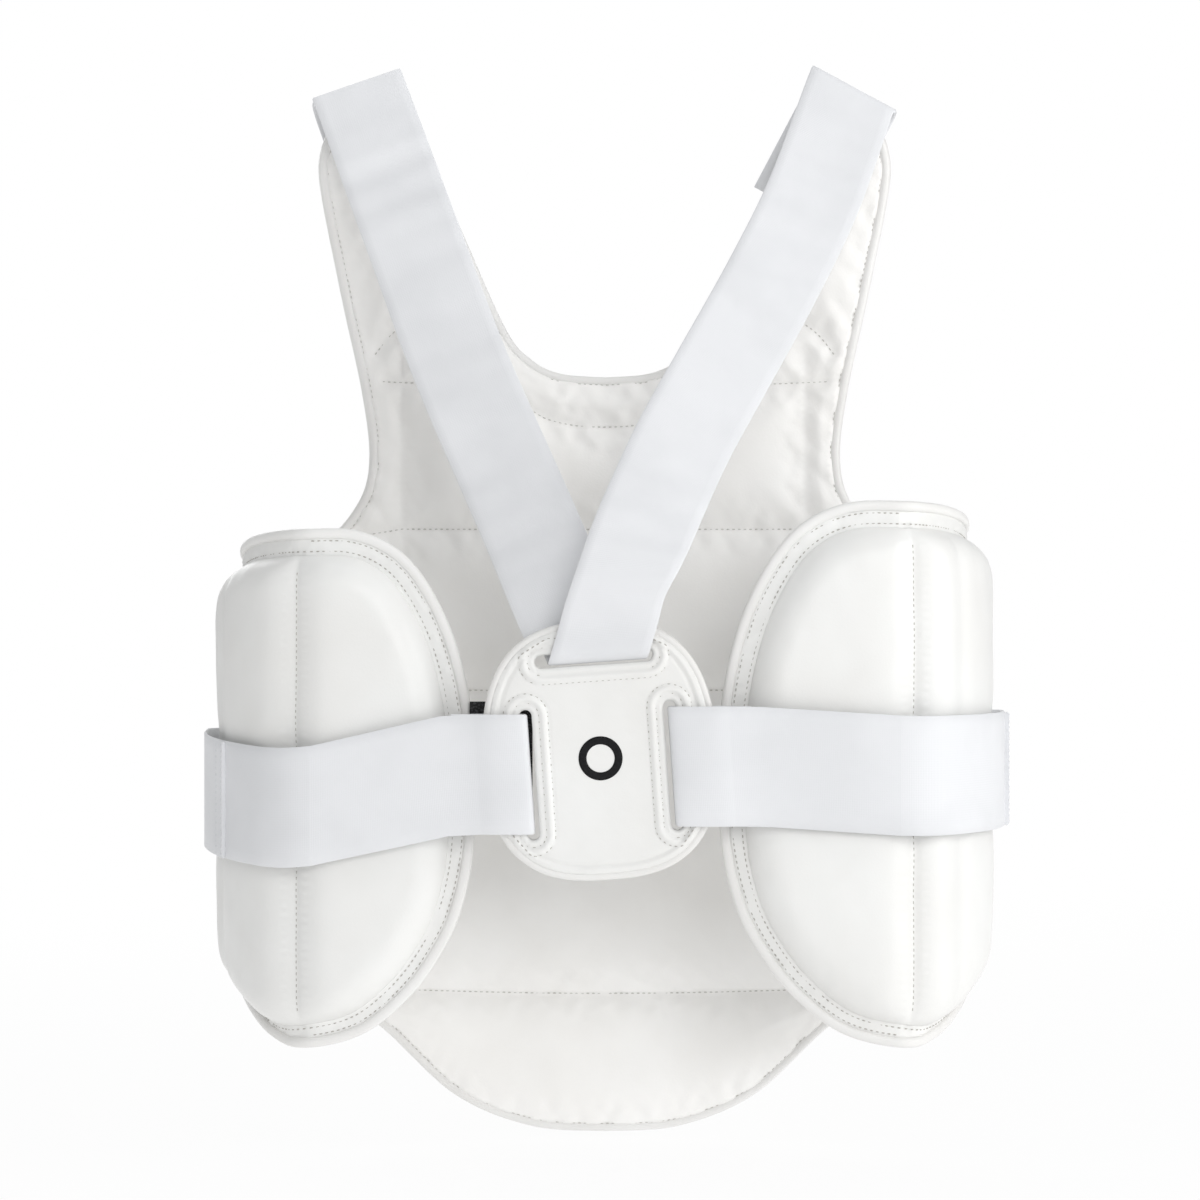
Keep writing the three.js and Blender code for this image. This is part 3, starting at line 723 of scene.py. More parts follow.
PRINT = make_print("dark_print")


# ---- front panel --------------------------------------------------------------------------------
QUILT_HALF = 3.8
PANEL_PUFF = 5.4
PUFF_REACH = 30
PUFF_POWER = 2.4
SKIN = 1.6
SOFT = {"height": 0.9, "wave": 100}
PUCKER = {"height": 0.8, "wave": 18, "from_seam": 6, "reach": 8}
EDGE_STITCH = 1.7
STITCH_LIFT = 0.1
COLUMN_U = 108
TAB_BASE = [(122, 418), (112, 430), (95, 440), (66, 447)]
SEWN_LINES = [
    curve([(-118, 403), (-60, 399), (-30, 383), (0, 379), (30, 383), (60, 399), (118, 403)]),
    resample([(-126, 321), (-COLUMN_U, 324), (COLUMN_U, 324), (126, 321)]),
    resample([(-COLUMN_U, 237.5), (COLUMN_U, 237.5)]),
    curve([(-COLUMN_U, 77), (-50, 75), (0, 74.5), (50, 75), (COLUMN_U, 77)]),
    curve(TAB_BASE),
    mirrored(curve(TAB_BASE)),
]
PRESSED_LINES = [resample([(u, 418), (u, 77)]) for u in (-COLUMN_U, COLUMN_U)]
QUILT_LINES = SEWN_LINES + PRESSED_LINES


def panel_place(flat, w):
    """Bends flat panel points to the body's curve; w grows towards the front."""
    u, v = flat[:, 0], flat[:, 1]
    span = PANEL_HALF - PANEL_FLAT_HALF
    reach = np.maximum(np.abs(u) - PANEL_FLAT_HALF, 0)
    above = np.maximum(v - TAB_LEAN_Z, 0)
    run = np.minimum(above, TAB_LEAN_RUN)
    lean = TAB_LEAN * (run**2 / (2 * TAB_LEAN_RUN) + above - run)
    y = PANEL_MID_Y + PANEL_WRAP * (reach / span) ** 2 + lean
    slope_u = 2 * PANEL_WRAP * reach / span**2 * np.sign(u)
    slope_v = TAB_LEAN * run / TAB_LEAN_RUN
    normal = unit(np.stack([slope_u, -np.ones(len(u)), slope_v], axis=1))
    return np.stack([u, y, v], axis=1) + np.broadcast_to(w, len(u))[:, None] * normal


def panel_outline():
    """The panel's edge, anticlockwise from the bottom of the hem."""
    half = joined(
        curve(HEM),
        resample([HEM[-1], ARMHOLE[0]]),
        curve(ARMHOLE + TAB_TOP[1:]),
        resample([TAB_TOP[-1], NECK[0]]),
        curve(NECK),
    )
    return joined(half, mirrored(half))


def puff(distance, reach):
    """0 at a seam rising to 1 at `reach` from it, steepest at the seam."""
    return 1 - (1 - np.clip(distance / reach, 0, 1)) ** PUFF_POWER


def panel_height(flat, distance, face, seed):
    """w of the panel's front (face 1) or wearer's (face -1) skin, with soft unevenness and puckers."""
    rise = puff(distance, PUFF_REACH)
    soft = SOFT["height"] * ripple(flat, SOFT["wave"], seed) * rise
    beside_seam = np.exp(-(((distance - PUCKER["from_seam"]) / PUCKER["reach"]) ** 2))
    pucker = PUCKER["height"] * ripple(flat, PUCKER["wave"], seed + 1) * beside_seam
    return PANEL_CORE + face * (QUILT_HALF + PANEL_PUFF * rise + soft + pucker)


def rim_height(inset, half_width, half_thick):
    """How far a binding stands off its middle at `inset` from its own middle line."""
    return half_thick * (1 - abs(inset / half_width) ** (2 / RIM_ROUNDING)) ** (RIM_ROUNDING / 2)


def panel_skins():
    """The quilted cover and lining, closed skins that meet the bindings."""
    outline = without_end(panel_outline())
    edge = beside(outline, -UNDER_BINDING * BINDING_WIDTH, closed=True)
    flat, triangles = fill(edge, lines=QUILT_LINES)
    distance = distance_to(flat, closed_path(edge), *QUILT_LINES)
    front = panel_height(flat, distance, 1, 11)
    back = panel_height(flat, distance, -1, 23)
    cover = skin("panel_cover", triangles, panel_place(flat, front), panel_place(flat, front - SKIN), LEATHER)
    finish_piece(cover, "root", ["front_cover", "hem_foam", "belly_foam", "chest_foam"])
    lining = skin("panel_lining", triangles, panel_place(flat, back + SKIN), panel_place(flat, back), LINING)
    foams = [f"{side}_{place}_foam" for side in SIDES for place in ("tab", "flank")]
    finish_piece(lining, "root", ["front_lining", "ribs_foam", *foams])


def panel_bindings():
    """The folded bindings round the panel with their dotted stitch rows, and its side edges."""
    side_seam = resample([(PANEL_HALF, SEAM_BOTTOM_Z), (PANEL_HALF, SEAM_TOP_Z)])
    hem = curve(HEM)
    arm = curve(ARMHOLE + TAB_TOP[1:])
    neck = joined(resample([TAB_TOP[-1], NECK[0]]), curve(NECK))
    paths = {
        "hem_binding": joined(mirrored(hem), hem),
        "neck_binding": joined(neck, mirrored(neck)),
        "left_armhole_binding": arm,
        "right_armhole_binding": mirrored(arm),
    }
    inset = BINDING_WIDTH / 2
    rows = []
    for name, path in paths.items():
        middle = beside(path, -inset)
        piece = rim(name + "_leather", middle, panel_place, PANEL_CORE, inset, PANEL_EDGE_HALF, BINDING)
        finish_piece(piece, "root", [name])
        stitched = beside(path, -inset - EDGE_STITCH)
        stand = rim_height(EDGE_STITCH, inset, PANEL_EDGE_HALF) + STITCH_LIFT
        rows.extend(stitch_row(stitched, panel_place, PANEL_CORE + face * stand) for face in (1, -1))
    for side, data in SIDES.items():
        seam = beside(side_seam, -inset) * [data["sign"], 1]
        name = f"{side}_side_edge_leather"
        piece = rim(name, seam, panel_place, PANEL_CORE, inset, PANEL_EDGE_HALF - 0.4, LINING)
        finish_piece(piece, "root")
    finish_piece(sew("panel_edge_stitches", rows, THREAD_PALE), "root")


def panel_quilting():
    """Thread along each sewn quilting line, on both faces."""
    rows = []
    for line in SEWN_LINES:
        for face in (1, -1):
            rows.append(stitch_row(line, panel_place, PANEL_CORE + face * (QUILT_HALF + 0.12)))
    finish_piece(sew("panel_quilt_stitches", rows, THREAD_PALE), "root")


# ---- flank wings --------------------------------------------------------------------------------
GUSSET_HALF = (3.4, 5.2)
GUSSET_LIFT = 1.2
GUSSET_BEND = 5
FLANGE_INNER = 0.2
FLANGE_OUTER = 4.6
PAD_FOOT = FLANGE_OUTER - 0.9
SUNK_STITCH = FLANGE_OUTER - 0.8
SIDE_SEAM = 115
TRACK_ENDS = (-135, 125.1)
TRACK_STEP = 0.5
WING_FOOT = [(-SIDE_SEAM, 92), (-60, 76), (-25, 64), (0, WING_BOTTOM)]
# The tip from its foot to its top, as shares of its length and of half its height.
TIP_SHAPE = [
    (0.33, -0.95), (0.59, -0.82), (0.78, -0.66), (0.92, -0.47), (1, -0.2),
    (1, 0.2), (0.92, 0.5), (0.78, 0.73), (0.59, 0.9), (0.33, 0.99),
]
FOLD_REACH = 12
PAD_SIDE_END = 107
PAD_MARGIN = {"flank": 8, "bottom": 12, "top": 13.5}
PAD_BASE = 14.8
PAD_WALL = 17
PAD_CROWN = 55
CHANNEL_DEPTH = 0.62
CHANNEL_HALF = 4.2
CREASE_DEPTH = 1.5
OUTER_ROW = 6.4


def wing_track():
    """The wing's plan line: s from the side seam (below 0) over the channel to the tip (above 0)."""
    radius = SIDE_LENGTH / SIDE_TURN
    side = np.arange(TRACK_ENDS[0], 0.1, TRACK_STEP)
    turned = SIDE_HEADING + side / radius
    side_x = CHANNEL[0] + radius * (math.sin(SIDE_HEADING) - np.sin(turned))
    side_y = CHANNEL[1] + radius * (np.cos(turned) - math.cos(SIDE_HEADING))
    back = np.arange(TRACK_STEP, TRACK_ENDS[1], TRACK_STEP)
    s = np.concatenate([side, back])
    x = np.concatenate([side_x, CHANNEL[0] + back * math.cos(BACK_HEADING)])
    y = np.concatenate([side_y, CHANNEL[1] + back * math.sin(BACK_HEADING)])
    corner = np.abs(s) < CORNER_REACH
    t = (s[corner] + CORNER_REACH) / (2 * CORNER_REACH)
    ends = [(np.interp(at, s, x), np.interp(at, s, y)) for at in (-CORNER_REACH, CORNER_REACH)]
    for values, k in ((x, 0), (y, 1)):
        values[corner] = (1 - t) ** 2 * ends[0][k] + 2 * t * (1 - t) * CHANNEL[k] + t**2 * ends[1][k]
    heading = np.unwrap(np.arctan2(np.gradient(y, s), np.gradient(x, s)))
    return s, x, y, heading


TRACK = wing_track()


def wing_place(side):
    """place(flat, w) for one wing: flat (s, v) bent round the flank, w outward from its inner face."""
    sign = SIDES[side]["sign"]
    track_s, track_x, track_y, track_heading = TRACK

    def place(flat, w):
        s, v = flat[:, 0], flat[:, 1]
        heading = np.interp(s, track_s, track_heading)
        x = np.interp(s, track_s, track_x) + w * np.sin(heading)
        y = np.interp(s, track_s, track_y) - w * np.cos(heading)
        return np.stack([sign * x, y, v], axis=1)

    return place


def wing_edge(side):
    """The bound edge of a wing from the side seam's foot round the tip to the seam's top."""
    top, length = SIDES[side]["top"], SIDES[side]["back"]
    middle, rise = (top + WING_BOTTOM) / 2, (top - WING_BOTTOM) / 2
    tip = [(share * length, middle + height * rise) for share, height in TIP_SHAPE]
    crest = [(0, top), (-50, top - 3), (-SIDE_SEAM, top - 12)]
    return curve(WING_FOOT + tip + crest)


def wing_outline(side):
    """The wing's edge, closed along the side seam."""
    edge = wing_edge(side)
    return joined(edge, resample([edge[-1], edge[0]]))


def pad_outline(side):
    """The cushion's sewn edge: inside the wing's edge, squared off near the side seam."""
    edge = wing_edge(side)
    share = smoothstep(edge[:, 1], 90, 210)
    low = PAD_MARGIN["flank"] + (PAD_MARGIN["bottom"] - PAD_MARGIN["flank"]) * smoothstep(edge[:, 0], -30, 10)
    margin = low + (PAD_MARGIN["top"] - low) * share
    sewn = beside(edge, -margin)
    sewn = sewn[sewn[:, 0] > np.where(sewn[:, 1] < 150, 24, 8) - PAD_SIDE_END]
    foot, top = sewn[0], sewn[-1]
    corner_top = curve([top, (1.5 - PAD_SIDE_END, top[1] - 3), (-PAD_SIDE_END, top[1] - 12)])
    corner_foot = curve([(-PAD_SIDE_END, foot[1] + 60), (3 - PAD_SIDE_END, foot[1] + 24), foot])
    straight = resample([corner_top[-1], corner_foot[0]])
    return resample(joined(sewn, corner_top, straight, corner_foot))


def stitch_margin(side):
    """The dotted row that holds the cushion, just outside it."""
    return beside(without_end(pad_outline(side)), 1.8, closed=True)


def wing_bend(side):
    """Where a wing piece turns from its side body to its back body."""
    ends = wing_place(side)(np.array([(-FOLD_REACH, 0.0), (FOLD_REACH, 0.0)]), 0.0)
    return f"{side}_wing", f"{side}_wing_back", *ends


def flange(side, seed):
    """The flat leather of a wing: sewn rows sink in and the fold channel is pressed."""
    place = wing_place(side)
    outline = without_end(wing_outline(side))
    edge = beside(outline, -UNDER_BINDING * BINDING_WIDTH, closed=True)
    pad_row = stitch_margin(side)
    edge_row = beside(wing_edge(side), -OUTER_ROW)
    fold = resample([(0, WING_BOTTOM + 5), (0, SIDES[side]["top"] - 5)])
    flat, triangles = fill(edge, lines=[edge_row, pad_row, fold])
    to_rows = distance_to(flat, edge_row, pad_row, closed_path(edge))
    to_fold = distance_to(flat, fold)
    soft = ripple(flat, 45, seed)
    tight = ripple(flat, 12, seed + 1) * np.exp(-to_rows / 4)
    outer = PAD_FOOT + 1.3 * puff(to_rows, 7) + 0.25 * soft + 0.3 * tight
    outer -= 1.4 * np.exp(-to_fold / 3)
    inner = FLANGE_INNER + 0.8 - 1.1 * puff(to_rows, 16) - 0.3 * soft + 0.9 * np.exp(-to_fold / 4)
    piece = skin(f"{side}_wing_flange", triangles, place(flat, outer), place(flat, inner), LEATHER)
    nodes = [f"{side}_wing_{part}_board" for part in ("side", "back")]
    finish_piece(piece, nodes=nodes, blend=wing_bend(side))


def pad_height(flat, to_edge, side, seed):
    """Cushion height over its sewn edge, pinched at the fold channel and pressed by the waist strap."""
    wall = (1 - (1 - np.clip(to_edge / PAD_WALL, 0, 1)) ** 2.3) ** 0.62
    rise = 0.84 * wall + 0.16 * puff(to_edge, PAD_CROWN)
    channel = 1 - CHANNEL_DEPTH * np.exp(-np.abs(flat[:, 0]) / CHANNEL_HALF)
    to_strap = flat[:, 1] - waist_height(side, flat[:, 0])
    pressed = 1.3 * np.exp(-((to_strap / (0.55 * WAIST["width"])) ** 6))
    gather = 0.7 * ripple(flat, 20, seed) * np.exp(-to_edge / 9)
    sag = 0.5 * ripple(flat, 90, seed + 1)
    crease = CREASE_DEPTH * np.exp(-(((flat[:, 0] - SIDES[side]["crease"]) / 6) ** 2))
    return PAD_BASE * rise * channel + (gather + sag - pressed - crease) * rise


def pad(side, seed):
    """The cushion, puffed by cloth simulation with its sewn edge and fold channel held."""
    place = wing_place(side)
    outline = without_end(pad_outline(side))
    channel = resample([(0, WING_BOTTOM + 14), (0, SIDES[side]["top"] - 17)])
    flat, triangles = fill(outline, step=2.6, lines=[channel, channel + [1.4, 0], channel - [1.4, 0]])
    to_edge = distance_to(flat, closed_path(outline))
    height = pad_height(flat, to_edge, side, seed)
    base = np.full(len(flat), PAD_FOOT)
    piece = skin(f"{side}_wing_pad", triangles, place(flat, base + height), place(flat, base), LEATHER)
    free = smoothstep(to_edge, 1, 9) * (0.1 + 0.9 * smoothstep(np.abs(flat[:, 0]), 1, 12))
    inflate(piece, np.concatenate([free, 0 * free]))
    smooth_out(piece)
    row = stitch_row(channel[3:-3], place, resting_on(piece, place))
    finish_piece(sew(f"{side}_channel_stitches", [row], THREAD), blend=wing_bend(side))
    nodes = [f"{side}_wing_{part}" for part in ("side_pad_cover", "side_foam", "back_pad_cover", "back_foam")]
    finish_piece(piece, nodes=nodes, blend=wing_bend(side))


def smooth_out(piece):
    """One applied subdivision, so that a coarse simulated skin shades smoothly."""
    divide = piece.modifiers.new("Smooth", "SUBSURF")
    divide.levels = 1
    final = bpy.data.meshes.new_from_object(evaluated(piece))
    piece.modifiers.remove(divide)
    piece.data = final


def wing_trim(side):
    """The binding round a wing and its two dotted stitch rows."""
    place = wing_place(side)
    edge = wing_edge(side)
    inset = BINDING_WIDTH / 2
    middle = (FLANGE_INNER + FLANGE_OUTER) / 2
    name = f"{side}_wing_binding"
    piece = rim(name, beside(edge, -inset), place, middle, inset, WING_EDGE_HALF, BINDING)
    nodes = [f"{side}_wing_{part}_binding" for part in ("side_top", "side_bottom", "back")]
    finish_piece(piece, nodes=nodes, blend=wing_bend(side))
    outer_row = beside(edge, -OUTER_ROW)
    outer_row = outer_row[outer_row[:, 0] > 4]
    rows = [
        stitch_row(outer_row, place, SUNK_STITCH),
        stitch_row(stitch_margin(side), place, SUNK_STITCH, closed=True),
    ]
    finish_piece(sew(f"{side}_wing_stitches", rows, THREAD), blend=wing_bend(side))


def side_gusset(side):
    """The soft leather hinge between the panel's edge and the wing."""
    place = wing_place(side)
    heights = np.arange(SEAM_BOTTOM_Z + 2, SEAM_TOP_Z - 2, 3.0)
    flat = np.stack([np.full(len(heights), -float(SIDE_LENGTH)), heights], axis=1)
    centre = place(flat, GUSSET_LIFT)
    centre[:, 0] += SIDES[side]["sign"] * 0.25 * ripple(flat, 30, 71)
    rings = []
    for angle in turn(RIM_SIDES):
        rings.append(centre + [GUSSET_HALF[0] * math.cos(angle), GUSSET_HALF[1] * math.sin(angle), 0])
    piece = tube(f"{side}_side_gusset", np.stack(rings, axis=1), LINING)
    reach = np.array([0, GUSSET_BEND, 0])
    finish_piece(piece, blend=("root", f"{side}_wing", centre[0] - reach, centre[0] + reach))


def wings():
    for side, seed in (("left", 100), ("right", 200)):
        flange(side, seed)
        pad(side, seed + 10)
        wing_trim(side)
        side_gusset(side)


# ---- waist straps -------------------------------------------------------------------------------
STRAP_SPLIT = 6
FOLD_BLEND = 22
PEEL_BLEND = 22
TAIL_START = 72
HEM_WIDTH = 8
HEM_STAND = 1.8
HEM_THICK = 2.0
TAPE_THICK = 1.2
TAPE_INSET = 3.4


def waist_height(side, s):
    """Height of the strap's middle line along the wing."""
    data = SIDES[side]
    return np.interp(
        s,
        [-SIDE_LENGTH, 0, WAIST["end"], 2 * WAIST["end"]],
        [data["waist_seam"], data["waist_channel"], data["waist_plate"], data["waist_plate"]],
    )


def waist_offset(s):
    """w of the strap's middle: over the cushion, then down to the flange at the side seam."""
    pad_lift = WAIST["offset"] - WING_BOARD - 1
    return WING_BOARD + 1 + pad_lift * smoothstep(s, 2 - SIDE_SEAM, 12 - SIDE_SEAM)


def waist_points(side, low, high):
    """The middle line of the strap between two places along the wing."""
    s = np.arange(low, high + 0.1, 2.0)
    return wing_place(side)(np.stack([s, waist_height(side, s)], axis=1), waist_offset(s))


def waist_tail(side):
    """Out over the plate's edge bar, in through its slot and back underneath to the hook patch."""
    sign = SIDES[side]["sign"]
    tilt = math.sin(PLATE["tilt"])
    slot = SIDE_SLOT["x"] + sign * (PLATE["x"] + SIDE_SLOT["z"] * tilt)
    outer, inner = PLATE["y"] + 8, PLATE["y"] - 7.8
    path = [(64, outer - 1.2), (56, outer), (slot + 9, outer), (slot + 1.6, outer - 1.2)]
    path += [(slot, outer - 4), (slot, inner + 3.8), (slot + 1.6, inner + 1.2), (slot + 9, inner)]
    path += [(58, inner), (63, inner + 3.3), (68, inner + 8.4), (75, inner + 10)]
    height = SIDES[side]["waist_plate"]
    return curve([(sign * x, y, height) for x, y in path], 1.2)


def upright(count):
    """Width directions of a strap that runs level."""
    return np.tile([0.0, 0.0, 1.0], (count, 1))


def waist_strap(side):
    """One length of webbing, cut where it leaves the wing's own webbing."""
    flank = waist_points(side, 4 - SIDE_SEAM, STRAP_SPLIT)
    back = waist_points(side, STRAP_SPLIT + 2, TAIL_START)
    path = np.concatenate([flank, back, waist_tail(side)])
    across = upright(len(path))
    lean = smoothstep(np.arange(len(path)), len(flank), len(flank) + len(back))
    across[:, 0] = math.sin(PLATE["tilt"]) * lean
    name = f"{side}_waist_strap"
    reaches = np.array([(STRAP_SPLIT + reach, 0.0) for reach in (-FOLD_BLEND, 0, PEEL_BLEND)])
    low, middle, high = wing_place(side)(reaches, 0.0)
    over_fold = (f"{side}_wing", f"{side}_wing_back", low, middle)
    to_tail = (f"{side}_wing_back", name, middle, high)
    stretches = [
        (f"{name}_flank", slice(len(flank)), [f"{name}_side", f"{name}_corner"], over_fold),
        (f"{name}_run", slice(len(flank) - 1, None), [f"{name}_back", f"{name}_tail"], to_tail),
    ]
    cut_strap(path, across, WAIST, stretches)


def waist_hem(side):
    """The strap's folded and sewn end near the side seam, a raised band across the webbing."""
    low = SIDES[side]["hem"]
    high = low + HEM_WIDTH
    place = wing_place(side)
    s = np.linspace(low, high, 6)
    heights = waist_height(side, s)
    centre = place(np.stack([s, heights], axis=1), waist_offset(s) + HEM_STAND)
    width = WAIST["width"] - 0.6
    name = f"{side}_waist_strap_hem"
    piece = webbing(name, centre, upright(len(centre)), width, HEM_THICK, ELASTIC)
    finish_piece(piece, f"{side}_wing")
    rows = []
    for s in (low + 1, high - 1):
        middle = float(waist_height(side, s))
        line = np.array([(s, middle - width / 2 + 2), (s, middle + width / 2 - 2)])
        rows.append(stitch_row(line, place, float(waist_offset(s)) + HEM_STAND + 0.95))
    finish_piece(sew(f"{name}_stitches", rows, THREAD_WHITE), f"{side}_wing")


def hook_patch(side):
    """Hook tape on the inner face of the strap's tail, standing a little above it."""
    low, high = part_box(f"{side}_hook_patch")
    y = (low.y + high.y) / 2 / MM + ORIGIN_Y
    z = (low.z + high.z) / 2 / MM
    ends = sorted((low.x / MM, high.x / MM), key=abs)
    inner = ends[0] + SIDES[side]["sign"] * TAPE_INSET
    centre = resample([(inner, y, z), (ends[1], y, z)], 1.5)
    width = (high.z - low.z) / MM
    piece = webbing(f"{side}_hook_tape", centre, upright(len(centre)), width, TAPE_THICK, HOOK)
    finish_piece(piece, f"{side}_waist_strap", [f"{side}_hook_patch"])


# ---- shoulder harness ---------------------------------------------------------------------------
FOLD_RADIUS = SHOULDER["fold_radius"] + SHOULDER["thick"] / 2
FOLD_BEND = (-0.5, 1.6)
FRONT_LEG = 62
FRONT_HEIGHTS = (-FRONT_LEG, -42, -22, -8)
OVER_ANGLES = (180, 150, 120, 90, 60, 35)
# Directions share a curve with points, but count for almost nothing in its length.
DIRECTION_SCALE = 0.001
SLACK_HEIGHT = 1.1
SLACK_FREE = 45
TAB_TAPE_WIDTH = 34
LOOP_TOP = 305
LOOP_BEND = (LOOP_TOP - 13, PLATE["z"] + TOP_SLOT["z"] + 11)
SHOULDER_RUNS = {
    "left": [(98, -8, 469), (75, 16, 408), (39, 52, 326), (24.5, 70, 292), (16.5, 75.8, 274)],
    "right": [
        (-110, -22, 499), (-87, 4, 452), (-61, 30, 405), (-40, 55, 367), (-23, 80.5, 330), (-11.5, 96.4, 302),
    ],
}
SLOT_PASS = {
    "left": [(8.5, 76.4, 264), (5, 77.6, 258.5), (4, 81, 256)],
    "right": [(-5, 94.8, 286), (-1.5, 91.8, 273), (2, 91.2, 261), (3.5, 87, 256), (4, 81, 256)],
}
# Heights, with their sign turned, between which a strap's width turns level with the slot.
SLOT_TURN = {"left": (-274, -264), "right": (-340, -280)}


def fold_frame(side):
    """Origin and axes (across, back, up) of the strap's fold over the tab's top."""
    data = SIDES[side]
    u = data["sign"] * FOLD["x"]
    below = np.array([[u, FOLD["z"] - 20.0]])
    back = (panel_place(below, 0.0) - panel_place(below, 1.0))[0]
    across = unit(np.array([1.0, 0, 0]) - back[0] * back)
    up = np.cross(across, back)
    slant = data["sign"] * data["slant"]
    origin = panel_place(np.array([[u, float(FOLD["z"])]]), PANEL_CORE)[0]
    leaning = math.cos(slant) * across - math.sin(slant) * up
    rising = math.sin(slant) * across + math.cos(slant) * up
    return origin, leaning, back, rising


def shoulder_knots(side):
    """The strap's middle line with its width direction: six numbers a knot."""
    origin, across, back, up = fold_frame(side)
    knots = []
    for height in FRONT_HEIGHTS:
        knots.append((*(origin - FOLD_RADIUS * back + height * up), *across))
    for angle in np.radians(OVER_ANGLES):
        spot = origin + FOLD_RADIUS * (math.cos(angle) * back + math.sin(angle) * up)
        knots.append((*spot, *across))
    run = np.array(SHOULDER_RUNS[side], float)
    direction = tangents(np.concatenate([[origin], run, [SLOT_PASS[side][0]]]))[1:-1]
    slot_way = np.array([math.cos(PLATE["tilt"]), 0, -math.sin(PLATE["tilt"])])
    for spot, along in zip(run, direction):
        side_way = unit(np.cross((0, -1, 0), along))
        side_way += smoothstep(-spot[2], *SLOT_TURN[side]) * (slot_way - side_way)
        knots.append((*spot, *unit(side_way)))
    for spot in SLOT_PASS[side]:
        knots.append((*spot, *slot_way))
    return np.array(knots)


def shoulder_strap(side):
    """One length of webbing from the tab's front to the plate, cut where the loop starts."""
    knots = shoulder_knots(side)
    knots[:, 3:] *= DIRECTION_SCALE
    path = curve(knots, 1.6)
    centre, across = path[:, :3], path[:, 3:]
    length = lengths_along(centre)[-1]
    slack = (SLACK_HEIGHT, FRONT_LEG + SLACK_FREE, length - SLACK_FREE)
    cut = int(np.argmax((centre[:, 2] < LOOP_TOP) & (np.arange(len(centre)) > len(centre) / 2)))
    origin, _, back, _ = fold_frame(side)
    over_tab = ("root", "harness", *(origin + share * FOLD_RADIUS * back for share in FOLD_BEND))
    to_plate = ("harness", "back_plate", *((PLATE["x"], PLATE["y"], height) for height in LOOP_BEND))
    nodes = [f"{side}_shoulder_strap", f"{side}_shoulder_strap_end"]
    stretches = [
        (f"{side}_shoulder_webbing", slice(cut + 1), nodes, over_tab),
        (f"{side}_shoulder_loop", slice(cut, None), ["shoulder_strap_loop"] * (side == "right"), to_plate),
    ]
    cut_strap(centre, across, SHOULDER, stretches, slack)


def front_end_stitches(side):
    """The box of stitching that holds the strap's folded end on the tab's front."""
    origin, across, back, up = fold_frame(side)

    def place(flat, w):
        out = (FOLD_RADIUS + np.broadcast_to(w, len(flat)))[:, None]
        return origin + flat[:, :1] * across + flat[:, 1:] * up - out * back

    half = SHOULDER["width"] / 2 - 4
    low, high = 4 - FRONT_LEG, 24 - FRONT_LEG
    corners = [(-half, low), (half, low), (half, high), (-half, high), (-half, low)]
    rows = [stitch_row(resample(corners, STITCH_PITCH), place, SHOULDER["thick"] / 2 + 0.1)]
    finish_piece(sew(f"{side}_shoulder_end_stitches", rows, THREAD_WHITE), "root")


def tab_hook_patch(side):
    """Hook tape between the tab's front and the strap's sewn end."""
    origin, across, back, up = fold_frame(side)
    middle = origin - (SHOULDER["fold_radius"] - 0.9) * back
    heights = np.arange(-56, -15.9, 2.0)
    centre = middle + heights[:, None] * up
    across = np.tile(across, (len(centre), 1))
    piece = webbing(f"{side}_tab_hook_tape", centre, across, TAB_TAPE_WIDTH, TAPE_THICK, HOOK)
    finish_piece(piece, "root", [f"{side}_tab_hook_patch"])


def straps():
    for side in SIDES:
        waist_strap(side)
        waist_hem(side)
        hook_patch(side)
        shoulder_strap(side)
        front_end_stitches(side)
        tab_hook_patch(side)


# ---- back plate ---------------------------------------------------------------------------------
PLATE_FACE = 3.4
PLATE_STEP = 1.5
PLATE_FULLNESS = 2.7
PLATE_NARROWING = 0.05
PLATE_EDGE_HALF = 3.7
PLATE_RIM = 4.6
WELT = {"from": 3.6, "to": 8.0, "height": 1.25}
EDGE_GROOVE = 7.6
SLOT_CUT = 0.6
MARK = {"z": -4, "outer": 11, "inner": 7}


def plate_place(flat, w):
    """Plate-local across, up and outward to the drawing frame."""
    cos, sin = math.cos(PLATE["tilt"]), math.sin(PLATE["tilt"])
    across, up = flat[:, 0], flat[:, 1]
    y = PLATE["y"] + np.broadcast_to(w, len(up))
    x, z = across * cos + up * sin, up * cos - across * sin
    return np.stack([PLATE["x"] + x, y, PLATE["z"] + z], axis=1)


def plate_outline(inset=0.0):
    """A rounded square that narrows a little upwards."""
    angle = turn(240)
    x = np.sign(np.cos(angle)) * np.abs(np.cos(angle)) ** (2 / PLATE_FULLNESS)
    z = np.sign(np.sin(angle)) * np.abs(np.sin(angle)) ** (2 / PLATE_FULLNESS)
    half = PLATE["half_width"] * (1 - PLATE_NARROWING * np.maximum(z, 0))
    outline = np.stack([half * x, PLATE["half_height"] * z], axis=1)
    outline = resample(closed_path(outline), PLATE_STEP)[:-1]
    return beside(outline, -inset, closed=True)


def slot_outline(slot, grow):
    """A slot's rounded rectangle, grown evenly, anticlockwise."""
    w, h = slot["width"] / 2 + grow, slot["height"] / 2 + grow
    r = min(w, h)
    points = []
    for quarter, (right, up) in enumerate(((1, 1), (-1, 1), (-1, -1), (1, -1))):
        x, z = slot["x"] + right * (w - r), slot["z"] + up * (h - r)
        for angle in np.radians(np.linspace(90 * quarter, 90 * quarter + 90, 9)):
            points.append((x + r * math.cos(angle), z + r * math.sin(angle)))
    return resample(points + points[:1], 1.0)[:-1]


SLOTS = [TOP_SLOT, SIDE_SLOT, {**SIDE_SLOT, "x": -SIDE_SLOT["x"]}]


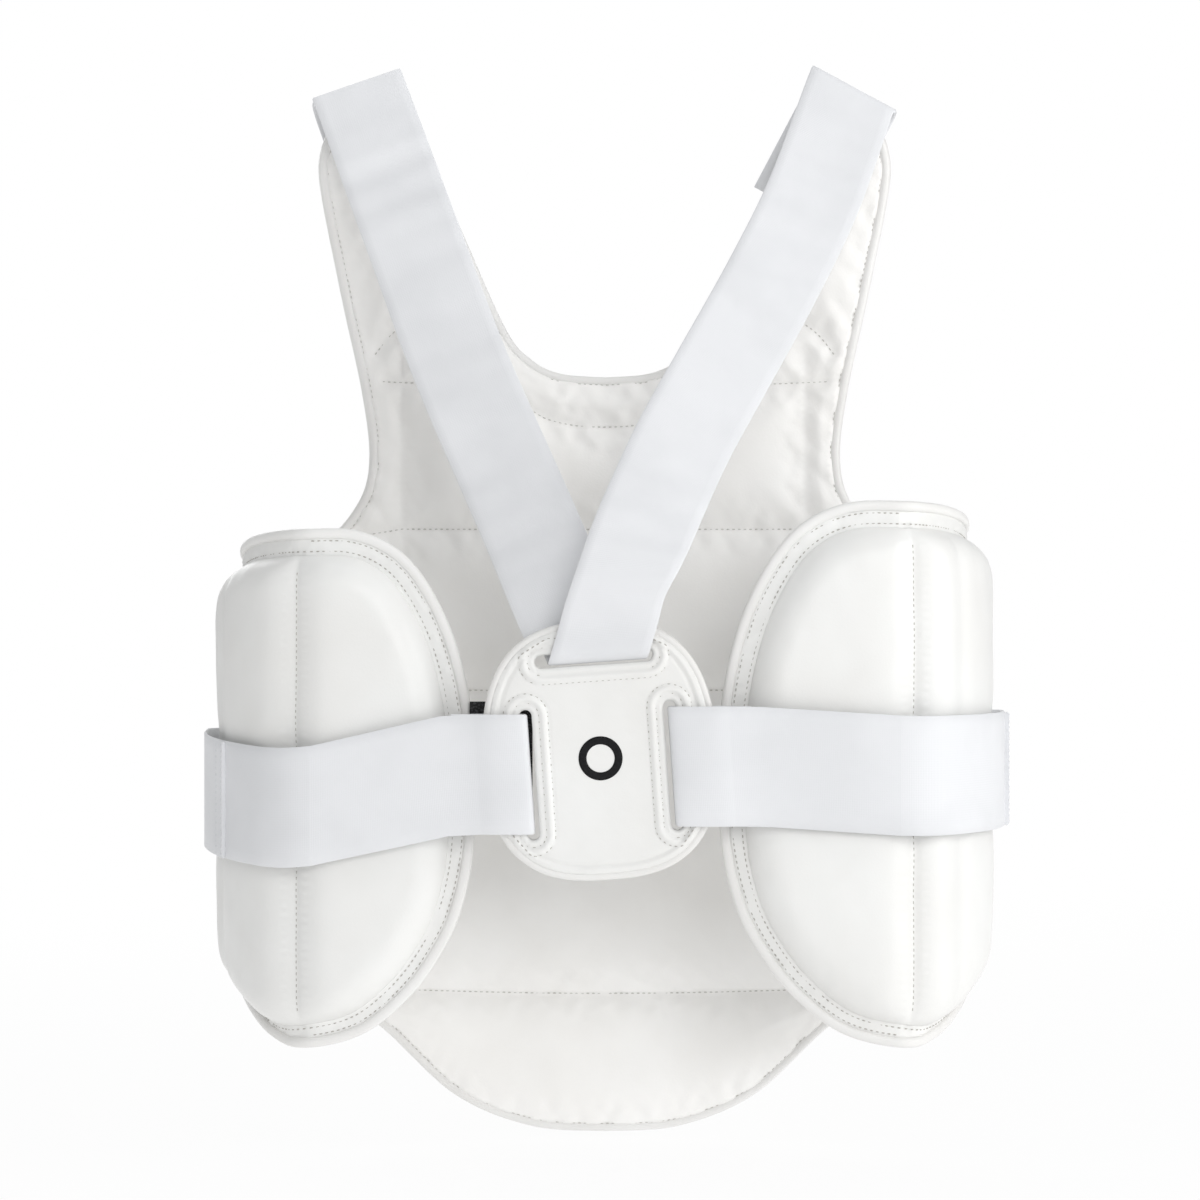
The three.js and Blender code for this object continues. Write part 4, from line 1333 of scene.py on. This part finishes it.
def plate_face(flat):
    """w of the plate's outer face: a soft crown, raised welts round the slots and an edge groove."""
    to_edge = distance_to(flat, closed_path(plate_outline()))
    to_slot = distance_to(flat, *[closed_path(slot_outline(slot, SLOT_CUT)) for slot in SLOTS])
    across_welt = np.clip((to_slot - WELT["from"]) / (WELT["to"] - WELT["from"]), 0, 1)
    lip = np.clip(to_slot / WELT["from"], 0, 1)
    face = PLATE_FACE + 1.3 * puff(to_edge, 34)
    face += WELT["height"] * np.sin(math.pi * across_welt) ** 0.7
    face += 0.35 * np.sin(math.pi * lip) - 1.0 * np.exp(-to_slot / 0.8)
    for row in (WELT["from"], WELT["to"]):
        face -= 0.35 * np.exp(-(((to_slot - row) / 0.7) ** 2))
    face -= 0.7 * np.exp(-(((to_edge - EDGE_GROOVE) / 0.8) ** 2))
    face += 0.5 * np.exp(-(((to_edge - EDGE_GROOVE + 2) / 1.1) ** 2))
    return face + 0.12 * ripple(flat, 26, 301)


def plate_body():
    """The plate's leather, with a hole for each slot."""
    edge = plate_outline(UNDER_BINDING * PLATE_RIM)
    holes = [slot_outline(slot, SLOT_CUT) for slot in SLOTS]
    rows = [closed_path(slot_outline(slot, WELT[end])) for slot in SLOTS for end in ("from", "to")]
    flat, triangles = fill(edge, step=1.0, holes=holes, lines=[row[:-1] for row in rows])
    outer = plate_face(flat)
    inner = -PLATE_FACE - 0.3 * puff(distance_to(flat, closed_path(edge)), 20) + 0.2 * ripple(flat, 40, 307)
    piece = skin("back_plate_body", triangles, plate_place(flat, outer), plate_place(flat, inner), LEATHER)
    rims = [f"{name}_slot_rim" for name in ("top", "left", "right")]
    nodes = ["plate_core", "plate_cover", "plate_lining", *rims]
    finish_piece(piece, "back_plate", nodes)


def plate_trim():
    """The plate's bound edge and the stitch rows round its slots."""
    middle = plate_outline(PLATE_RIM / 2)
    name = "back_plate_binding"
    piece = rim(name, middle, plate_place, 0.0, PLATE_RIM / 2, PLATE_EDGE_HALF, BINDING, closed=True)
    finish_piece(piece, "back_plate", ["plate_binding"])
    rows = []
    for slot in SLOTS:
        for end in ("from", "to"):
            line = closed_path(slot_outline(slot, WELT[end] + SLOT_CUT))
            line = line[inside(line, plate_outline(PLATE_RIM + 0.5))]
            rows.append(stitch_row(line, plate_place, lambda flat: plate_face(flat) + 0.1))
    finish_piece(sew("back_plate_stitches", rows, THREAD), "back_plate")


def plate_mark():
    """A plain printed ring, following the plate's crown."""
    angle = turn(90)
    circle = np.stack([np.cos(angle), np.sin(angle)], axis=1)
    centre = np.array([0, MARK["z"]])
    flat, triangles = fill(centre + MARK["outer"] * circle, step=1.0, holes=[centre + MARK["inner"] * circle])
    face = plate_face(flat)
    top, bottom = plate_place(flat, face + 0.16), plate_place(flat, face - 0.1)
    piece = skin("back_plate_mark", triangles, top, bottom, PRINT)
    finish_piece(piece, "back_plate", ["plate_emblem"])


def plate():
    plate_body()
    plate_trim()
    plate_mark()


# ---- stage --------------------------------------------------------------------------------------
CAMERA_PLACE = (0.0025, 2.0745, 0.286)
CAMERA_LENS = 120
SENSOR_WIDTH = 36
FLOOR_HALF = 6.0
FLOOR_GAP = 0.004
AMBIENT = 0.4
# Name, place, the height over the origin that it faces, size (all in metres) and power in watts.
SOFTBOXES = [
    ("side", (-2.0, 0.7, 0.6), 0.3, (1.4, 1.6), 20),
    ("camera", (-0.9, 2.9, 1.1), 0.28, (1.6, 1.4), 27.5),
    ("fill", (1.9, 1.2, 0.6), 0.3, (1.4, 1.6), 2.5),
    ("top", (0, 0.3, 2.2), 0.3, (1.6, 1.2), 7),
    ("front", (0.4, -2.0, 1.2), 0.3, (1.6, 1.6), 16),
]


def make_floor_material():
    """Pale floor: nearly white to the camera, with a little diffuse so that it holds a faint shadow."""
    n = Nodes("pale_floor", 0.9)
    speckle = n.noise(30.0, 3.0)
    n.colour(n.blend(speckle, (0.93, 0.93, 0.93), (0.95, 0.95, 0.95)))
    output = n.tree.nodes["Material Output"]
    glow = n.add("ShaderNodeEmission", {"Color": (1, 1, 1, 1), "Strength": 1.0})
    distance = n.add("ShaderNodeVectorMath", {0: n.place}, operation="LENGTH").outputs["Value"]
    share = n.remap(distance, 0.5, 2.0, 0.07, 0.0)
    mix = n.add("ShaderNodeMixShader", {0: share, 1: glow.outputs[0], 2: n.shader.outputs[0]})
    n.tree.links.new(mix.outputs[0], output.inputs["Surface"])
    return n.material


def make_floor():
    """A flat square just under the object."""
    level = CAD_BOX[0].z - FLOOR_GAP
    data = bpy.data.meshes.new("floor")
    corners = [(FLOOR_HALF * x, FLOOR_HALF * y, level) for x, y in ((-1, -1), (1, -1), (1, 1), (-1, 1))]
    data.from_pydata(corners, [], [(0, 1, 2, 3)])
    data.materials.append(make_floor_material())
    add_object("floor", data)


def make_world():
    """White backdrop to the camera, softer even light to the object."""
    world = bpy.data.worlds.new("studio")
    bpy.context.scene.world = world
    world.use_nodes = True
    tree = world.node_tree
    background = tree.nodes["Background"]
    backdrop = tree.nodes.new("ShaderNodeBackground")
    backdrop.inputs["Strength"].default_value = 1.0
    backdrop.inputs["Color"].default_value = (1, 1, 1, 1)
    background.inputs["Color"].default_value = (0.97, 0.985, 1, 1)
    background.inputs["Strength"].default_value = AMBIENT
    path = tree.nodes.new("ShaderNodeLightPath")
    mix = tree.nodes.new("ShaderNodeMixShader")
    tree.links.new(path.outputs["Is Camera Ray"], mix.inputs[0])
    tree.links.new(background.outputs[0], mix.inputs[1])
    tree.links.new(backdrop.outputs[0], mix.inputs[2])
    tree.links.new(mix.outputs[0], tree.nodes["World Output"].inputs["Surface"])


def make_softbox(name, place, aim, size, power):
    """One soft rectangular light, turned towards the object's middle line."""
    data = bpy.data.lights.new(name, "AREA")
    data.shape = "RECTANGLE"
    data.size, data.size_y = size
    data.energy = power
    lamp = add_object(name, data)
    lamp.location = place
    lamp.rotation_euler = (Vector((0, 0, aim)) - Vector(place)).to_track_quat("-Z", "Y").to_euler()


def make_camera():
    """A long lens, level, behind the wearer."""
    data = bpy.data.cameras.new("camera")
    data.lens = CAMERA_LENS
    data.sensor_width = SENSOR_WIDTH
    camera = add_object("camera", data)
    camera.location = CAMERA_PLACE
    camera.rotation_euler = (math.pi / 2, 0, math.pi)
    bpy.context.scene.camera = camera


def make_stage():
    bpy.context.scene.view_settings.view_transform = "Standard"
    make_floor()
    make_world()
    for softbox in SOFTBOXES:
        make_softbox(*softbox)
    make_camera()


# ---- build --------------------------------------------------------------------------------------
panel_skins()
panel_bindings()
panel_quilting()
wings()
straps()
plate()
make_stage()
